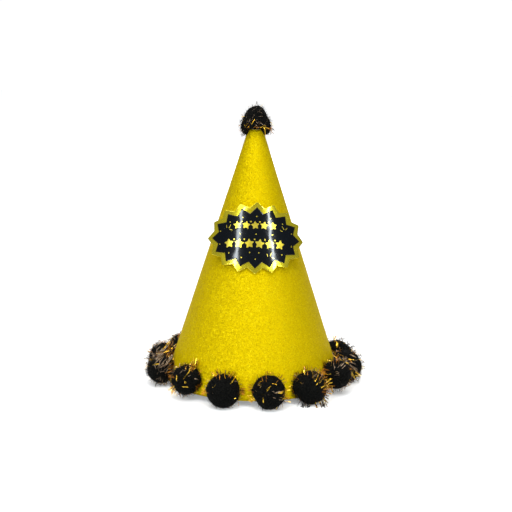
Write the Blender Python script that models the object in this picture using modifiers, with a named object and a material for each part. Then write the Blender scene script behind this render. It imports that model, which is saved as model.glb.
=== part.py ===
"""Pom-pom party hat.

A fan of glitter card is rolled into a cone over a plain card liner. Fourteen pom-poms are glued round
its rim and carry it, one more is pushed over its tip, and a burst-shaped badge of two stacked cards
sits on foam pads at the front.

Metres, +Z up. The origin is on the floor under the hat's axis. The badge faces -Y, and the sheet's
seam is at the back, at +Y. Angles round the hat are counted from the front towards +X.
"""
import math

import bmesh
import bpy
from mathutils import Vector

# Driving dimensions of the cone
RIM_RADIUS = 0.0700
RIM_Z = 0.0044
APEX_RISE = 0.2175
TIP_RADIUS = 0.0057
COVER_THICKNESS = 0.0007
LINER_THICKNESS = 0.0006
FIT_GAP = 0.0003

# Seam at the back
SHEET_COLUMNS = 96
FLAP_HALF_ANGLE = math.radians(5.0)
FLAP_RAMP_ANGLE = math.radians(6.0)
LINER_SLIT_HALF_ANGLE = math.radians(0.6)
TAPE_COLUMNS = 4
TAPE_WIDTH = 0.011
TAPE_THICKNESS = 0.0003
TAPE_END_MARGIN = 0.006
TAPE_TOP_Z = 0.165

# Holes for a chin cord, one at each side: each is midway between this pom-pom and the next
CORD_HOLE_AFTER = (9, 2)
CORD_HOLE_RADIUS = 0.0015
CORD_HOLE_RISE = 0.010
CORD_CUTTER_LENGTH = 0.010
CORD_CUTTER_SEGMENTS = 16

# Rim pom-poms, numbered from the back left round the front to the back. The front row is evenly
# pitched, a wide gap is left before its first one, and the others share the rest of the rim.
POMPOM_COUNT = 14
POMPOM_RING_RADIUS = 0.0750
POMPOM_Z = 0.0129
POMPOM_RADIUS = 0.0134
SMALL_POMPOM_RADIUS = 0.0120
SMALL_POMPOMS = (3, 4, 8)
HIGH_POMPOMS = (4, 8)
HIGH_LIFT = 0.003
FRONT_FIRST = 4
FRONT_LAST = 9
FRONT_START = math.radians(-44.0)
FRONT_PITCH = math.radians(26.5)
WIDE_GAP = math.radians(34.0)
GLUE_THICKNESS = 0.0008
GLUE_RADIUS = 0.0050
TIE_RADIUS = 0.0012
TIE_LENGTH = 0.0050
TIE_SHOULDER = 0.00036
FLOOR_SLAB_WIDTH = 0.25
FLOOR_SLAB_THICKNESS = 0.01
BALL_SEGMENTS = 16
BALL_STEPS = 7
SMALL_SEGMENTS = 10

# Pom-pom on the tip: a dome above its widest ring, and a shallower bowl below it
TOP_RADIUS = 0.0122
TOP_WIDEST_Z = 0.2065
TOP_DOME_HEIGHT = 0.0170
TOP_BOWL_HEIGHT = 0.0080
TOP_DOME_STEPS = 7
TOP_BOWL_STEPS = 3
TOP_SEGMENTS = 20
PLUG_LENGTH = 0.0080
BISECTIONS = 40

# Badge, drawn flat and then bent round a wider cone that touches the hat's front line
BADGE_BEND_ANGLE = math.radians(28.0)
BADGE_SLANT = 0.1040
BADGE_SHIFT = 0.00115
BADGE_ROLL = math.radians(1.5)
BADGE_STANDOFF = 0.0018
BURST_TIPS = 16
FACE_HALF_WIDTH = 0.0360
FACE_HALF_HEIGHT = 0.0238
FACE_NOTCH = 0.0050
BORDER_REACH = 0.0042
BORDER_NOTCH = 0.0046
BORDER_TIP_RADIUS = 0.0012
FACE_TIP_RADIUS = 0.0002
TIP_STEPS = 3
ARC_SAMPLES = 720
GOLD_THICKNESS = 0.0005
FACE_THICKNESS = 0.0004
CUT_SPACING_ACROSS = 0.0060
CUT_SPACING_ALONG = 0.0140
SHARP_ANGLE = math.radians(40.0)
PAD_WIDTH = 0.009
PAD_HEIGHT = 0.011
PAD_CLEARANCE = 0.00045
PAD_EDGE = 0.0002
PAD_OFFSETS = {"badge_foam_pad_upper": 0.010, "badge_foam_pad_lower": -0.012}

# Values that follow from them
APEX_Z = RIM_Z + APEX_RISE
SLOPE = RIM_RADIUS / APEX_RISE
HALF_ANGLE = math.atan(SLOPE)
TIP_Z = APEX_Z - TIP_RADIUS / SLOPE
FLAP_LIFT = COVER_THICKNESS + FIT_GAP
MERGE_DISTANCE = 0.00001
FULL_TURN = 2.0 * math.pi


def clear_scene():
    for existing in list(bpy.data.objects):
        bpy.data.objects.remove(existing, do_unlink=True)


def new_collection(name):
    group = bpy.data.collections.new(name)
    bpy.context.scene.collection.children.link(group)
    return group


def new_material(name, colour, roughness, metallic=0.0):
    material = bpy.data.materials.new(name)
    material.use_nodes = True
    shader = material.node_tree.nodes["Principled BSDF"]
    shader.inputs["Base Color"].default_value = (*colour, 1.0)
    shader.inputs["Roughness"].default_value = roughness
    shader.inputs["Metallic"].default_value = metallic
    return material


clear_scene()
PARTS = new_collection("pompom_party_hat")
CUTTERS = new_collection("cutters")

GLITTER = new_material("yellow_gold_glitter", (0.80, 0.62, 0.02), 0.35, 0.4)
CARD = new_material("white_card", (0.86, 0.85, 0.80), 0.8)
TAPE = new_material("paper_tape", (0.90, 0.88, 0.82), 0.6)
PILE = new_material("black_pile", (0.012, 0.011, 0.011), 0.9)
THREAD = new_material("black_thread", (0.02, 0.02, 0.02), 0.7)
HOT_GLUE = new_material("hot_melt_glue", (0.85, 0.83, 0.76), 0.3)
MIRROR_GOLD = new_material("mirror_gold_card", (0.90, 0.68, 0.05), 0.15, 1.0)
GLOSS_BLACK = new_material("gloss_black_card", (0.008, 0.010, 0.016), 0.12)
FOAM = new_material("white_foam", (0.88, 0.88, 0.86), 0.9)


def add_part(name, mesh, material, group=PARTS):
    part = bpy.data.objects.new(name, mesh)
    group.objects.link(part)
    if not mesh.materials:
        mesh.materials.append(material)
    return part


def mesh_from(bm, name):
    mesh = bpy.data.meshes.new(name)
    bm.to_mesh(mesh)
    bm.free()
    return mesh


def cone_radius(z):
    """Outer radius of the hat's cone at a height."""
    return (APEX_Z - z) * SLOPE


# --- Sheets that follow the cone ---------------------------------------------------------------

def cone_sheet(name, place, columns, thickness, material):
    """A flat sheet rolled on to the cone. place(across, up) gives its angle, height and inset."""
    bm = bmesh.new()
    bmesh.ops.create_grid(bm, x_segments=columns, y_segments=1, size=0.5)
    for vert in bm.verts:
        angle, z, inset = place(vert.co.x, vert.co.y + 0.5)
        radius = cone_radius(z) - inset / math.cos(HALF_ANGLE)
        vert.co = (radius * math.sin(angle), -radius * math.cos(angle), z)
    bmesh.ops.recalc_face_normals(bm, faces=bm.faces)
    middle = min(bm.faces, key=lambda face: face.calc_center_median().y)
    if middle.normal.y > 0.0:
        bmesh.ops.reverse_faces(bm, faces=bm.faces)
    mesh = mesh_from(bm, name)
    mesh.shade_smooth()
    part = add_part(name, mesh, material)
    shell = part.modifiers.new("thickness", "SOLIDIFY")
    shell.thickness = thickness
    shell.offset = -1.0
    shell.use_even_offset = True
    return part


def flap_lift(angle):
    """How far the sheet's outer flap stands off the cone: it climbs smoothly over the inner edge."""
    ramp = (angle - (math.pi - FLAP_HALF_ANGLE - FLAP_RAMP_ANGLE)) / FLAP_RAMP_ANGLE
    ramp = min(max(ramp, 0.0), 1.0)
    return FLAP_LIFT * ramp * ramp * (3.0 - 2.0 * ramp)


def cover_place(across, up):
    """The outer sheet: its two edges overlap at the back, the right one lifted over the left."""
    angle = 2.0 * (math.pi + FLAP_HALF_ANGLE) * across
    return angle, RIM_Z + up * (TIP_Z - RIM_Z), -flap_lift(angle)


def liner_place(across, up):
    """The inner card: its edges stop short of each other, and the tape joins them."""
    angle = 2.0 * (math.pi - LINER_SLIT_HALF_ANGLE) * across
    return angle, RIM_Z + up * (TIP_Z - RIM_Z), COVER_THICKNESS + FIT_GAP


def tape_place(across, up):
    """A strip of constant width along the liner's slit, on its inner side."""
    z = RIM_Z + TAPE_END_MARGIN + up * (TAPE_TOP_Z - RIM_Z - TAPE_END_MARGIN)
    inset = COVER_THICKNESS + LINER_THICKNESS + 2.0 * FIT_GAP
    angle = math.pi + TAPE_WIDTH * across / cone_radius(z)
    return angle, z, inset


def cylinder_cutter(name, radius, length, location, rotation):
    bm = bmesh.new()
    bmesh.ops.create_cone(
        bm, cap_ends=True, segments=CORD_CUTTER_SEGMENTS, radius1=radius, radius2=radius, depth=length
    )
    return place_cutter(mesh_from(bm, name), name, location, rotation)


def place_cutter(mesh, name, location, rotation=(0.0, 0.0, 0.0)):
    cutter = bpy.data.objects.new(name, mesh)
    CUTTERS.objects.link(cutter)
    cutter.location = location
    cutter.rotation_euler = rotation
    cutter.hide_render = True
    cutter.display_type = "WIRE"
    return cutter


def cut(part, cutter):
    boolean = part.modifiers.new(cutter.name, "BOOLEAN")
    boolean.operation = "DIFFERENCE"
    boolean.object = cutter


def make_cone():
    cover = cone_sheet(
        "cone_glitter_cover", cover_place, SHEET_COLUMNS, COVER_THICKNESS, GLITTER
    )
    liner = cone_sheet("cone_card_liner", liner_place, SHEET_COLUMNS, LINER_THICKNESS, CARD)
    tape = cone_sheet("seam_tape", tape_place, TAPE_COLUMNS, TAPE_THICKNESS, TAPE)
    if tape.data.polygons[0].normal.y < 0.0:
        tape.data.flip_normals()
    z = RIM_Z + CORD_HOLE_RISE
    angles = [0.5 * (pompom_angle(number) + pompom_angle(number + 1)) for number in CORD_HOLE_AFTER]
    for index, angle in enumerate(angles, start=1):
        centre = (cone_radius(z) * math.sin(angle), -cone_radius(z) * math.cos(angle), z)
        cutter = cylinder_cutter(
            f"cord_hole_cutter_{index}",
            CORD_HOLE_RADIUS,
            CORD_CUTTER_LENGTH,
            centre,
            (0.5 * math.pi - HALF_ANGLE, 0.0, angle),
        )
        cut(cover, cutter)
        cut(liner, cutter)


# --- Turned pieces -----------------------------------------------------------------------------

def profile_mesh(name, points):
    """An open outline of (radius, height) points, running down the outer side."""
    bm = bmesh.new()
    verts = [bm.verts.new((radius, 0.0, height)) for radius, height in points]
    for upper, lower in zip(verts, verts[1:]):
        bm.edges.new((upper, lower))
    return mesh_from(bm, name)


def turned_part(name, mesh, segments, material):
    part = add_part(name, mesh, material)
    screw = part.modifiers.new("turn", "SCREW")
    screw.angle = FULL_TURN
    screw.steps = segments
    screw.render_steps = segments
    screw.use_merge_vertices = True
    screw.merge_threshold = MERGE_DISTANCE
    screw.use_smooth_shade = True
    return part


def pompom_angle(number):
    """Angle of a rim pom-pom round the hat, from the front."""
    front_steps = FRONT_LAST - FRONT_FIRST
    front_end = FRONT_START + front_steps * FRONT_PITCH
    shared = FULL_TURN - WIDE_GAP - front_steps * FRONT_PITCH
    pitch = shared / (POMPOM_COUNT - 1 - front_steps)
    if number < FRONT_FIRST:
        return FRONT_START - WIDE_GAP - (FRONT_FIRST - 1 - number) * pitch
    if number > FRONT_LAST:
        return front_end + (number - FRONT_LAST) * pitch
    return FRONT_START + (number - FRONT_FIRST) * FRONT_PITCH


def seat_depth():
    """Distance from a rim pom-pom's centre to its flat back, which faces the wall."""
    wall_gap = (POMPOM_RING_RADIUS - cone_radius(POMPOM_Z)) * math.cos(HALF_ANGLE)
    return wall_gap - GLUE_THICKNESS - 2.0 * FIT_GAP


def ball_profile(ball_radius):
    """A ball flattened at the back, with a bore there for the thread that ties its middle."""
    back = seat_depth()
    lowest = 0.5 * math.pi + HALF_ANGLE
    points = []
    for step in range(BALL_STEPS + 1):
        polar = lowest * step / BALL_STEPS
        points.append((ball_radius * math.sin(polar), ball_radius * math.cos(polar)))
    bore = TIE_RADIUS + FIT_GAP
    bore_end = TIE_LENGTH + FIT_GAP - back
    points.append((math.sqrt(ball_radius**2 - back**2), -back))
    points.append((bore, -back))
    points.append((bore, bore_end))
    points.append((0.0, bore_end))
    return points


def tie_profile(length):
    """A short wound core with rounded shoulders, its lower end at height 0."""
    return [
        (0.0, length),
        (TIE_RADIUS - TIE_SHOULDER, length),
        (TIE_RADIUS, length - TIE_SHOULDER),
        (TIE_RADIUS, TIE_SHOULDER),
        (TIE_RADIUS - TIE_SHOULDER, 0.0),
        (0.0, 0.0),
    ]


def glue_profile():
    """A pressed dot of glue with a rounded edge, its middle at height 0."""
    half = 0.5 * GLUE_THICKNESS
    return [
        (0.0, half),
        (GLUE_RADIUS - half, half),
        (GLUE_RADIUS, 0.0),
        (GLUE_RADIUS - half, -half),
        (0.0, -half),
    ]


def add_station(name, angle):
    """An empty on the hat's axis, turned to one pom-pom. It moves out where the flap lies beneath."""
    station = bpy.data.objects.new(name, None)
    PARTS.objects.link(station)
    station.rotation_euler.z = angle
    if abs(angle - math.pi) < FLAP_HALF_ANGLE + GLUE_RADIUS / RIM_RADIUS:
        lift = flap_lift(math.pi) / math.cos(HALF_ANGLE)
        station.location = (lift * math.sin(angle), -lift * math.cos(angle), 0.0)
    return station


def floor_cutter():
    """A slab under the floor: it presses flat the foot of each pom-pom that rests there."""
    bm = bmesh.new()
    bmesh.ops.create_cube(bm, size=1.0)
    size = (FLOOR_SLAB_WIDTH, FLOOR_SLAB_WIDTH, FLOOR_SLAB_THICKNESS)
    bmesh.ops.scale(bm, vec=size, verts=bm.verts)
    middle = (0.0, 0.0, -0.5 * FLOOR_SLAB_THICKNESS)
    return place_cutter(mesh_from(bm, "floor_cutter"), "floor_cutter", middle)


def make_rim_pompoms():
    tie = profile_mesh("pompom_tie_profile", tie_profile(TIE_LENGTH))
    glue = profile_mesh("pompom_glue_profile", glue_profile())
    floor = floor_cutter()
    outward = Vector((0.0, -math.cos(HALF_ANGLE), math.sin(HALF_ANGLE)))
    up_wall = Vector((0.0, math.sin(HALF_ANGLE), math.cos(HALF_ANGLE)))
    face_out = (0.5 * math.pi - HALF_ANGLE, 0.0, 0.0)
    back = seat_depth()
    for number in range(1, POMPOM_COUNT + 1):
        radius = SMALL_POMPOM_RADIUS if number in SMALL_POMPOMS else POMPOM_RADIUS
        lift = HIGH_LIFT if number in HIGH_POMPOMS else 0.0
        name = f"pompom_{number:02d}"
        ball = profile_mesh(f"{name}_profile", ball_profile(radius))
        centre = Vector((0.0, -POMPOM_RING_RADIUS, POMPOM_Z)) + lift * up_wall
        station = add_station(f"{name}_station", pompom_angle(number))
        pieces = (
            (name, ball, BALL_SEGMENTS, PILE, 0.0),
            (f"{name}_tie", tie, SMALL_SEGMENTS, THREAD, -back),
            (f"{name}_glue", glue, SMALL_SEGMENTS, HOT_GLUE, -back - FIT_GAP - 0.5 * GLUE_THICKNESS),
        )
        for piece_name, mesh, segments, material, along in pieces:
            piece = turned_part(piece_name, mesh, segments, material)
            piece.parent = station
            piece.location = centre + along * outward
            piece.rotation_euler = face_out
            if mesh is ball and centre.z < radius:
                cut(piece, floor)


def top_ball_radius(z):
    half_height = TOP_DOME_HEIGHT if z > TOP_WIDEST_Z else TOP_BOWL_HEIGHT
    reach = (z - TOP_WIDEST_Z) / half_height
    return TOP_RADIUS * math.sqrt(max(0.0, 1.0 - reach * reach))


def socket_radius(z):
    """Radius of the hollow that fits over the hat's tip, seam flap included."""
    return cone_radius(z) + (FLAP_LIFT + FIT_GAP) / math.cos(HALF_ANGLE)


def socket_mouth_z():
    """Height where the ball's underside meets its socket, by bisection."""
    low = TOP_WIDEST_Z - TOP_BOWL_HEIGHT
    high = TOP_WIDEST_Z
    for _ in range(BISECTIONS):
        middle = 0.5 * (low + high)
        if top_ball_radius(middle) > socket_radius(middle):
            high = middle
        else:
            low = middle
    return high


def top_ball_profile():
    socket_top = TIP_Z + 2.0 * FIT_GAP
    bore_top = socket_top + TIE_LENGTH + FIT_GAP
    points = []
    for step in range(TOP_DOME_STEPS + 1):
        polar = 0.5 * math.pi * step / TOP_DOME_STEPS
        z = TOP_WIDEST_Z + TOP_DOME_HEIGHT * math.cos(polar)
        points.append((TOP_RADIUS * math.sin(polar), z))
    mouth = socket_mouth_z()
    for step in range(1, TOP_BOWL_STEPS + 1):
        z = TOP_WIDEST_Z + (mouth - TOP_WIDEST_Z) * step / TOP_BOWL_STEPS
        points.append((top_ball_radius(z), z))
    bore = TIE_RADIUS + FIT_GAP
    points.append((socket_radius(socket_top), socket_top))
    points.append((bore, socket_top))
    points.append((bore, bore_top))
    points.append((0.0, bore_top))
    return points


def plug_profile():
    """Glue that fills the tip of the cone, tapered to the liner's inner side."""
    inset = COVER_THICKNESS + LINER_THICKNESS + 2.0 * FIT_GAP
    top = TIP_Z - FIT_GAP
    bottom = top - PLUG_LENGTH
    return [
        (0.0, top),
        (cone_radius(top) - inset / math.cos(HALF_ANGLE), top),
        (cone_radius(bottom) - inset / math.cos(HALF_ANGLE), bottom),
        (0.0, bottom),
    ]


def make_top_pompom():
    turned_part("top_pompom", profile_mesh("top_profile", top_ball_profile()), TOP_SEGMENTS, PILE)
    tie = turned_part(
        "top_pompom_tie", profile_mesh("top_tie", tie_profile(TIE_LENGTH)), SMALL_SEGMENTS, THREAD
    )
    tie.location.z = TIP_Z + 2.0 * FIT_GAP
    turned_part(
        "top_pompom_glue", profile_mesh("top_glue", plug_profile()), TOP_SEGMENTS, HOT_GLUE
    )


# --- Badge -------------------------------------------------------------------------------------

def ellipse_angles(half_width, half_height, count):
    """Parameters that divide an ellipse into equal lengths of arc, from its top clockwise."""
    lengths = [0.0]
    for index in range(ARC_SAMPLES):
        middle = FULL_TURN * (index + 0.5) / ARC_SAMPLES
        speed = math.hypot(half_width * math.cos(middle), half_height * math.sin(middle))
        lengths.append(lengths[-1] + speed)
    angles = []
    index = 0
    for number in range(count):
        wanted = lengths[-1] * number / count
        while lengths[index + 1] < wanted:
            index += 1
        part = (wanted - lengths[index]) / (lengths[index + 1] - lengths[index])
        angles.append(FULL_TURN * (index + part) / ARC_SAMPLES)
    return angles


def burst_outline(reach, notch):
    """A burst's corners: tips on an ellipse, and notches between them on a smaller one."""
    corners = []
    angles = ellipse_angles(FACE_HALF_WIDTH, FACE_HALF_HEIGHT, 2 * BURST_TIPS)
    for number, angle in enumerate(angles):
        extra = reach if number % 2 == 0 else notch - FACE_NOTCH
        x = (FACE_HALF_WIDTH + extra) * math.sin(angle)
        y = (FACE_HALF_HEIGHT + extra) * math.cos(angle)
        corners.append(Vector((x, y)))
    return corners


def rounded_tips(corners, radius):
    """Every second corner, a tip, becomes a short arc."""
    outline = []
    for number, corner in enumerate(corners):
        if number % 2:
            outline.append(corner)
            continue
        before = (corners[number - 1] - corner).normalized()
        after = (corners[(number + 1) % len(corners)] - corner).normalized()
        half = 0.5 * before.angle(after)
        inward = (before + after).normalized()
        centre = corner + inward * (radius / math.sin(half))
        start = corner + before * (radius / math.tan(half)) - centre
        turn = start.angle_signed(corner + after * (radius / math.tan(half)) - centre)
        base = math.atan2(start.y, start.x)
        for step in range(TIP_STEPS + 1):
            direction = base - turn * step / TIP_STEPS
            outline.append(centre + radius * Vector((math.cos(direction), math.sin(direction))))
    return outline


def flat_card(name, outline, thickness):
    """A closed 2D curve extruded to a card and sliced, so that it can bend."""
    curve = bpy.data.curves.new(name, "CURVE")
    curve.dimensions = "2D"
    curve.fill_mode = "BOTH"
    curve.extrude = 0.5 * thickness
    spline = curve.splines.new("POLY")
    spline.points.add(len(outline) - 1)
    for point, corner in zip(spline.points, outline):
        point.co = (corner.x, corner.y, 0.0, 1.0)
    spline.use_cyclic_u = True
    guide = bpy.data.objects.new(name, curve)
    CUTTERS.objects.link(guide)
    graph = bpy.context.evaluated_depsgraph_get()
    solid = bpy.data.meshes.new_from_object(guide.evaluated_get(graph))
    bpy.data.objects.remove(guide)
    bm = bmesh.new()
    bm.from_mesh(solid)
    bpy.data.meshes.remove(solid)
    bmesh.ops.remove_doubles(bm, verts=bm.verts, dist=MERGE_DISTANCE)
    slice_card(bm, Vector((1.0, 0.0, 0.0)), FACE_HALF_WIDTH + BORDER_REACH, CUT_SPACING_ACROSS)
    slice_card(bm, Vector((0.0, 1.0, 0.0)), FACE_HALF_HEIGHT + BORDER_REACH, CUT_SPACING_ALONG)
    bmesh.ops.triangulate(bm, faces=bm.faces)
    return bm


def slice_card(bm, direction, reach, spacing):
    count = int(reach / spacing)
    for number in range(-count, count + 1):
        geometry = bm.verts[:] + bm.edges[:] + bm.faces[:]
        bmesh.ops.bisect_plane(
            bm, geom=geometry, dist=MERGE_DISTANCE, plane_co=direction * number * spacing,
            plane_no=direction,
        )


def front_line_point(slant, standoff):
    """A point on the hat's front line, at a slant distance from its apex and off its surface."""
    y = -slant * math.sin(HALF_ANGLE) - standoff * math.cos(HALF_ANGLE)
    z = APEX_Z - slant * math.cos(HALF_ANGLE) + standoff * math.sin(HALF_ANGLE)
    return Vector((0.0, y, z))


def bend_point(flat, standoff):
    """Carries a point of the flat card on to the wider cone that the badge is bent round."""
    across = flat.x * math.cos(BADGE_ROLL) + flat.y * math.sin(BADGE_ROLL) + BADGE_SHIFT
    up = flat.y * math.cos(BADGE_ROLL) - flat.x * math.sin(BADGE_ROLL)
    slant = math.hypot(across, BADGE_SLANT - up)
    turn = math.atan2(across, BADGE_SLANT - up) / math.sin(BADGE_BEND_ANGLE)
    lean = HALF_ANGLE - BADGE_BEND_ANGLE
    axis = Vector((0.0, -math.sin(lean), -math.cos(lean)))
    forward = Vector((0.0, -math.cos(lean), math.sin(lean)))
    radial = math.cos(turn) * forward + math.sin(turn) * Vector((1.0, 0.0, 0.0))
    along = math.cos(BADGE_BEND_ANGLE) * axis + math.sin(BADGE_BEND_ANGLE) * radial
    normal = math.cos(BADGE_BEND_ANGLE) * radial - math.sin(BADGE_BEND_ANGLE) * axis
    return front_line_point(0.0, standoff) + slant * along + flat.z * normal


def badge_card(name, reach, notch, tip_radius, thickness, standoff, material):
    outline = rounded_tips(burst_outline(reach, notch), tip_radius)
    bm = flat_card(name, outline, thickness)
    for vert in bm.verts:
        vert.co = bend_point(vert.co, standoff + 0.5 * thickness)
    bmesh.ops.recalc_face_normals(bm, faces=bm.faces)
    mesh = mesh_from(bm, name)
    mesh.shade_smooth()
    mesh.set_sharp_from_angle(angle=SHARP_ANGLE)
    return add_part(name, mesh, material)


def foam_pad(name, up):
    """A block of foam tape between the hat and the badge, square to the front line."""
    thickness = BADGE_STANDOFF - FIT_GAP - PAD_CLEARANCE
    bm = bmesh.new()
    bmesh.ops.create_cube(bm, size=1.0)
    bmesh.ops.scale(bm, vec=(PAD_WIDTH, PAD_HEIGHT, thickness), verts=bm.verts)
    pad = add_part(name, mesh_from(bm, name), FOAM)
    pad.location = front_line_point(BADGE_SLANT - up, FIT_GAP + 0.5 * thickness)
    pad.rotation_euler.x = 0.5 * math.pi - HALF_ANGLE
    edge = pad.modifiers.new("edge", "BEVEL")
    edge.width = PAD_EDGE
    edge.segments = 1


def make_badge():
    badge_card(
        "badge_gold_card", BORDER_REACH, BORDER_NOTCH, BORDER_TIP_RADIUS,
        GOLD_THICKNESS, BADGE_STANDOFF, MIRROR_GOLD,
    )
    badge_card(
        "badge_black_face", 0.0, 0.0, FACE_TIP_RADIUS,
        FACE_THICKNESS, BADGE_STANDOFF + GOLD_THICKNESS + FIT_GAP, GLOSS_BLACK,
    )
    for name, up in PAD_OFFSETS.items():
        foam_pad(name, up)


make_cone()
make_rim_pompoms()
make_top_pompom()
make_badge()
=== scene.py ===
import math

import bmesh
import bpy
import numpy as np
from mathutils import Matrix, Vector, noise


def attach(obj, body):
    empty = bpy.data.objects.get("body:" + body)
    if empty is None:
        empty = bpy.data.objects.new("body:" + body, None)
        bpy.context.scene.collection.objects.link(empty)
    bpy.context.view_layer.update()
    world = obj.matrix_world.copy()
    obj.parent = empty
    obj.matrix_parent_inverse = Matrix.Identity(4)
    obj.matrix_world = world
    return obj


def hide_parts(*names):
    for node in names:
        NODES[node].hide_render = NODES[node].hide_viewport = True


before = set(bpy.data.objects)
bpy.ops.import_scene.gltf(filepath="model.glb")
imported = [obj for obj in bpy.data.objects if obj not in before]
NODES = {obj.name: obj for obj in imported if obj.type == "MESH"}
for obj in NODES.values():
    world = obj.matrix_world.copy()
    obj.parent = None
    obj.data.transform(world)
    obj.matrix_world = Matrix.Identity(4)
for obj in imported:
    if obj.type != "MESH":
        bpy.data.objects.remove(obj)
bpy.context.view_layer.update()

BODY = "root"
FULL_TURN = 2.0 * math.pi
MM = 0.001
NEAR = 0.01 * MM
WHITE = (1.0, 1.0, 1.0)


# --- Small helpers ---

def add_object(name, data):
    made = bpy.data.objects.new(name, data)
    bpy.context.scene.collection.objects.link(made)
    return made


def mesh_of(name, bm):
    mesh = bpy.data.meshes.new(name)
    bm.to_mesh(mesh)
    bm.free()
    return mesh


def put(node, **values):
    """Sets a shader node's inputs. An underscore stands for the space in an input's name."""
    for key, value in values.items():
        node.inputs[key.replace("_", " ")].default_value = value


# --- The hat's cone, read back from the frame ---

def read_cone(node):
    """Rim and tip of the outer surface, from the front half of the rolled sheet's corners."""
    points = np.array([vert.co for vert in NODES[node].data.vertices])
    front = points[points[:, 1] < 0.0]
    radii = np.hypot(front[:, 0], front[:, 1])
    rim = front[radii.argmax()]
    tip_z = front[:, 2].max()
    tip_radius = radii[front[:, 2] > tip_z - NEAR].max()
    return float(radii.max()), float(rim[2]), float(tip_radius), float(tip_z)


RIM_RADIUS, RIM_Z, TIP_RADIUS, TIP_Z = read_cone("cone_glitter_cover")
SLOPE = (RIM_RADIUS - TIP_RADIUS) / (TIP_Z - RIM_Z)
APEX_Z = RIM_Z + RIM_RADIUS / SLOPE
HALF_ANGLE = math.atan(SLOPE)
COS_HALF = math.cos(HALF_ANGLE)
SIN_HALF = math.sin(HALF_ANGLE)


def cone_radius(z):
    return (APEX_Z - z) * SLOPE


# --- Camera, light and floor ---

CAMERA_DISTANCE = 0.959
CAMERA_ELEVATION = math.radians(11.2)
CAMERA_ROLL = math.radians(0.57)
AIM_HEIGHT = 0.1027
AIM_SIDE = 0.0013
FOCAL_PIXELS = 1201.0
IMAGE_PIXELS = 512.0
SENSOR_WIDTH = 36.0
CLIP_RANGE = (0.01, 50.0)

# Two tall strips either side of the camera, a soft frontal fill and one behind the hat: each has
# its place, width, height, power and colour.
LAMPS = {
    "strip_left": ((-0.545, -1.0, 0.50), 0.11, 0.80, 5.2, (0.88, 0.96, 1.0)),
    "strip_right": ((0.575, -1.0, 0.50), 0.09, 0.80, 6.0, (0.90, 0.97, 1.0)),
    "front_fill": ((0.05, -0.95, 1.55), 0.9, 0.5, 7.0, WHITE),
    "back_fill": ((0.15, 1.5, 0.75), 1.2, 0.9, 17.0, WHITE),
}
LAMP_AIM = Vector((0.0, 0.0, 0.10))
OVERHEAD_STRENGTH = 2.2
OVERHEAD_SPREAD = math.radians(80.0)
OVERHEAD_TILT = (math.radians(10.0), math.radians(-8.0), 0.0)
ROOM_COLOUR = (0.93, 0.97, 1.0, 1.0)
ROOM_STRENGTH = 0.14
BACKDROP_STRENGTH = 1.05
FLOOR_RADIUS = 4.0
FLOOR_SEGMENTS = 96
FLOOR_COLOUR = (0.93, 0.93, 0.93, 1.0)
FLOOR_GLOW = 0.24


def make_camera():
    data = bpy.data.cameras.new("camera")
    data.sensor_width = SENSOR_WIDTH
    data.lens = FOCAL_PIXELS / IMAGE_PIXELS * SENSOR_WIDTH
    data.clip_start, data.clip_end = CLIP_RANGE
    camera = add_object("camera", data)
    back = Vector((0.0, -math.cos(CAMERA_ELEVATION), math.sin(CAMERA_ELEVATION)))
    right = Vector((1.0, 0.0, 0.0))
    up = back.cross(right)
    turned_right = math.cos(CAMERA_ROLL) * right + math.sin(CAMERA_ROLL) * up
    turned_up = back.cross(turned_right)
    rotation = Matrix((turned_right, turned_up, back)).transposed()
    place = Vector((AIM_SIDE, 0.0, AIM_HEIGHT)) + CAMERA_DISTANCE * back
    camera.matrix_world = Matrix.Translation(place) @ rotation.to_4x4()
    bpy.context.scene.camera = camera


def make_lights():
    """The lamps, and a wide overhead glow."""
    for name, (place, width, height, power, colour) in LAMPS.items():
        data = bpy.data.lights.new(name, "AREA")
        data.shape = "RECTANGLE"
        data.size = width
        data.size_y = height
        data.energy = power
        data.color = colour
        lamp = add_object(name, data)
        lamp.location = place
        lamp.rotation_euler = (LAMP_AIM - Vector(place)).to_track_quat("-Z", "Y").to_euler()
    data = bpy.data.lights.new("overhead", "SUN")
    data.energy = OVERHEAD_STRENGTH
    data.angle = OVERHEAD_SPREAD
    add_object("overhead", data).rotation_euler = OVERHEAD_TILT


def make_world():
    """White behind the hat, and a dimmer grey room for everything that it lights or is seen in."""
    world = bpy.data.worlds.new("studio")
    bpy.context.scene.world = world
    world.use_nodes = True
    nodes = world.node_tree.nodes
    links = world.node_tree.links
    nodes.clear()
    output = nodes.new("ShaderNodeOutputWorld")
    mix = nodes.new("ShaderNodeMixShader")
    path = nodes.new("ShaderNodeLightPath")
    room = nodes.new("ShaderNodeBackground")
    backdrop = nodes.new("ShaderNodeBackground")
    put(room, Color=ROOM_COLOUR, Strength=ROOM_STRENGTH)
    put(backdrop, Color=(*WHITE, 1.0), Strength=BACKDROP_STRENGTH)
    links.new(path.outputs["Is Camera Ray"], mix.inputs["Fac"])
    links.new(room.outputs["Background"], mix.inputs[1])
    links.new(backdrop.outputs["Background"], mix.inputs[2])
    links.new(mix.outputs["Shader"], output.inputs["Surface"])


def make_floor():
    """White sweep paper. It throws no light back up, so the hat keeps its own shading."""
    bm = bmesh.new()
    bmesh.ops.create_circle(bm, cap_ends=True, segments=FLOOR_SEGMENTS, radius=FLOOR_RADIUS)
    mesh = mesh_of("floor", bm)
    floor = add_object("floor", mesh)
    floor.visible_diffuse = False
    paper = new_material("floor_paper", roughness=0.9, specular=0.0)
    glow = (*WHITE, 1.0)
    put(paper.shader, Base_Color=FLOOR_COLOUR, Emission_Color=glow, Emission_Strength=FLOOR_GLOW)
    mesh.materials.append(paper.data)


# --- Material helpers ---

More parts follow.
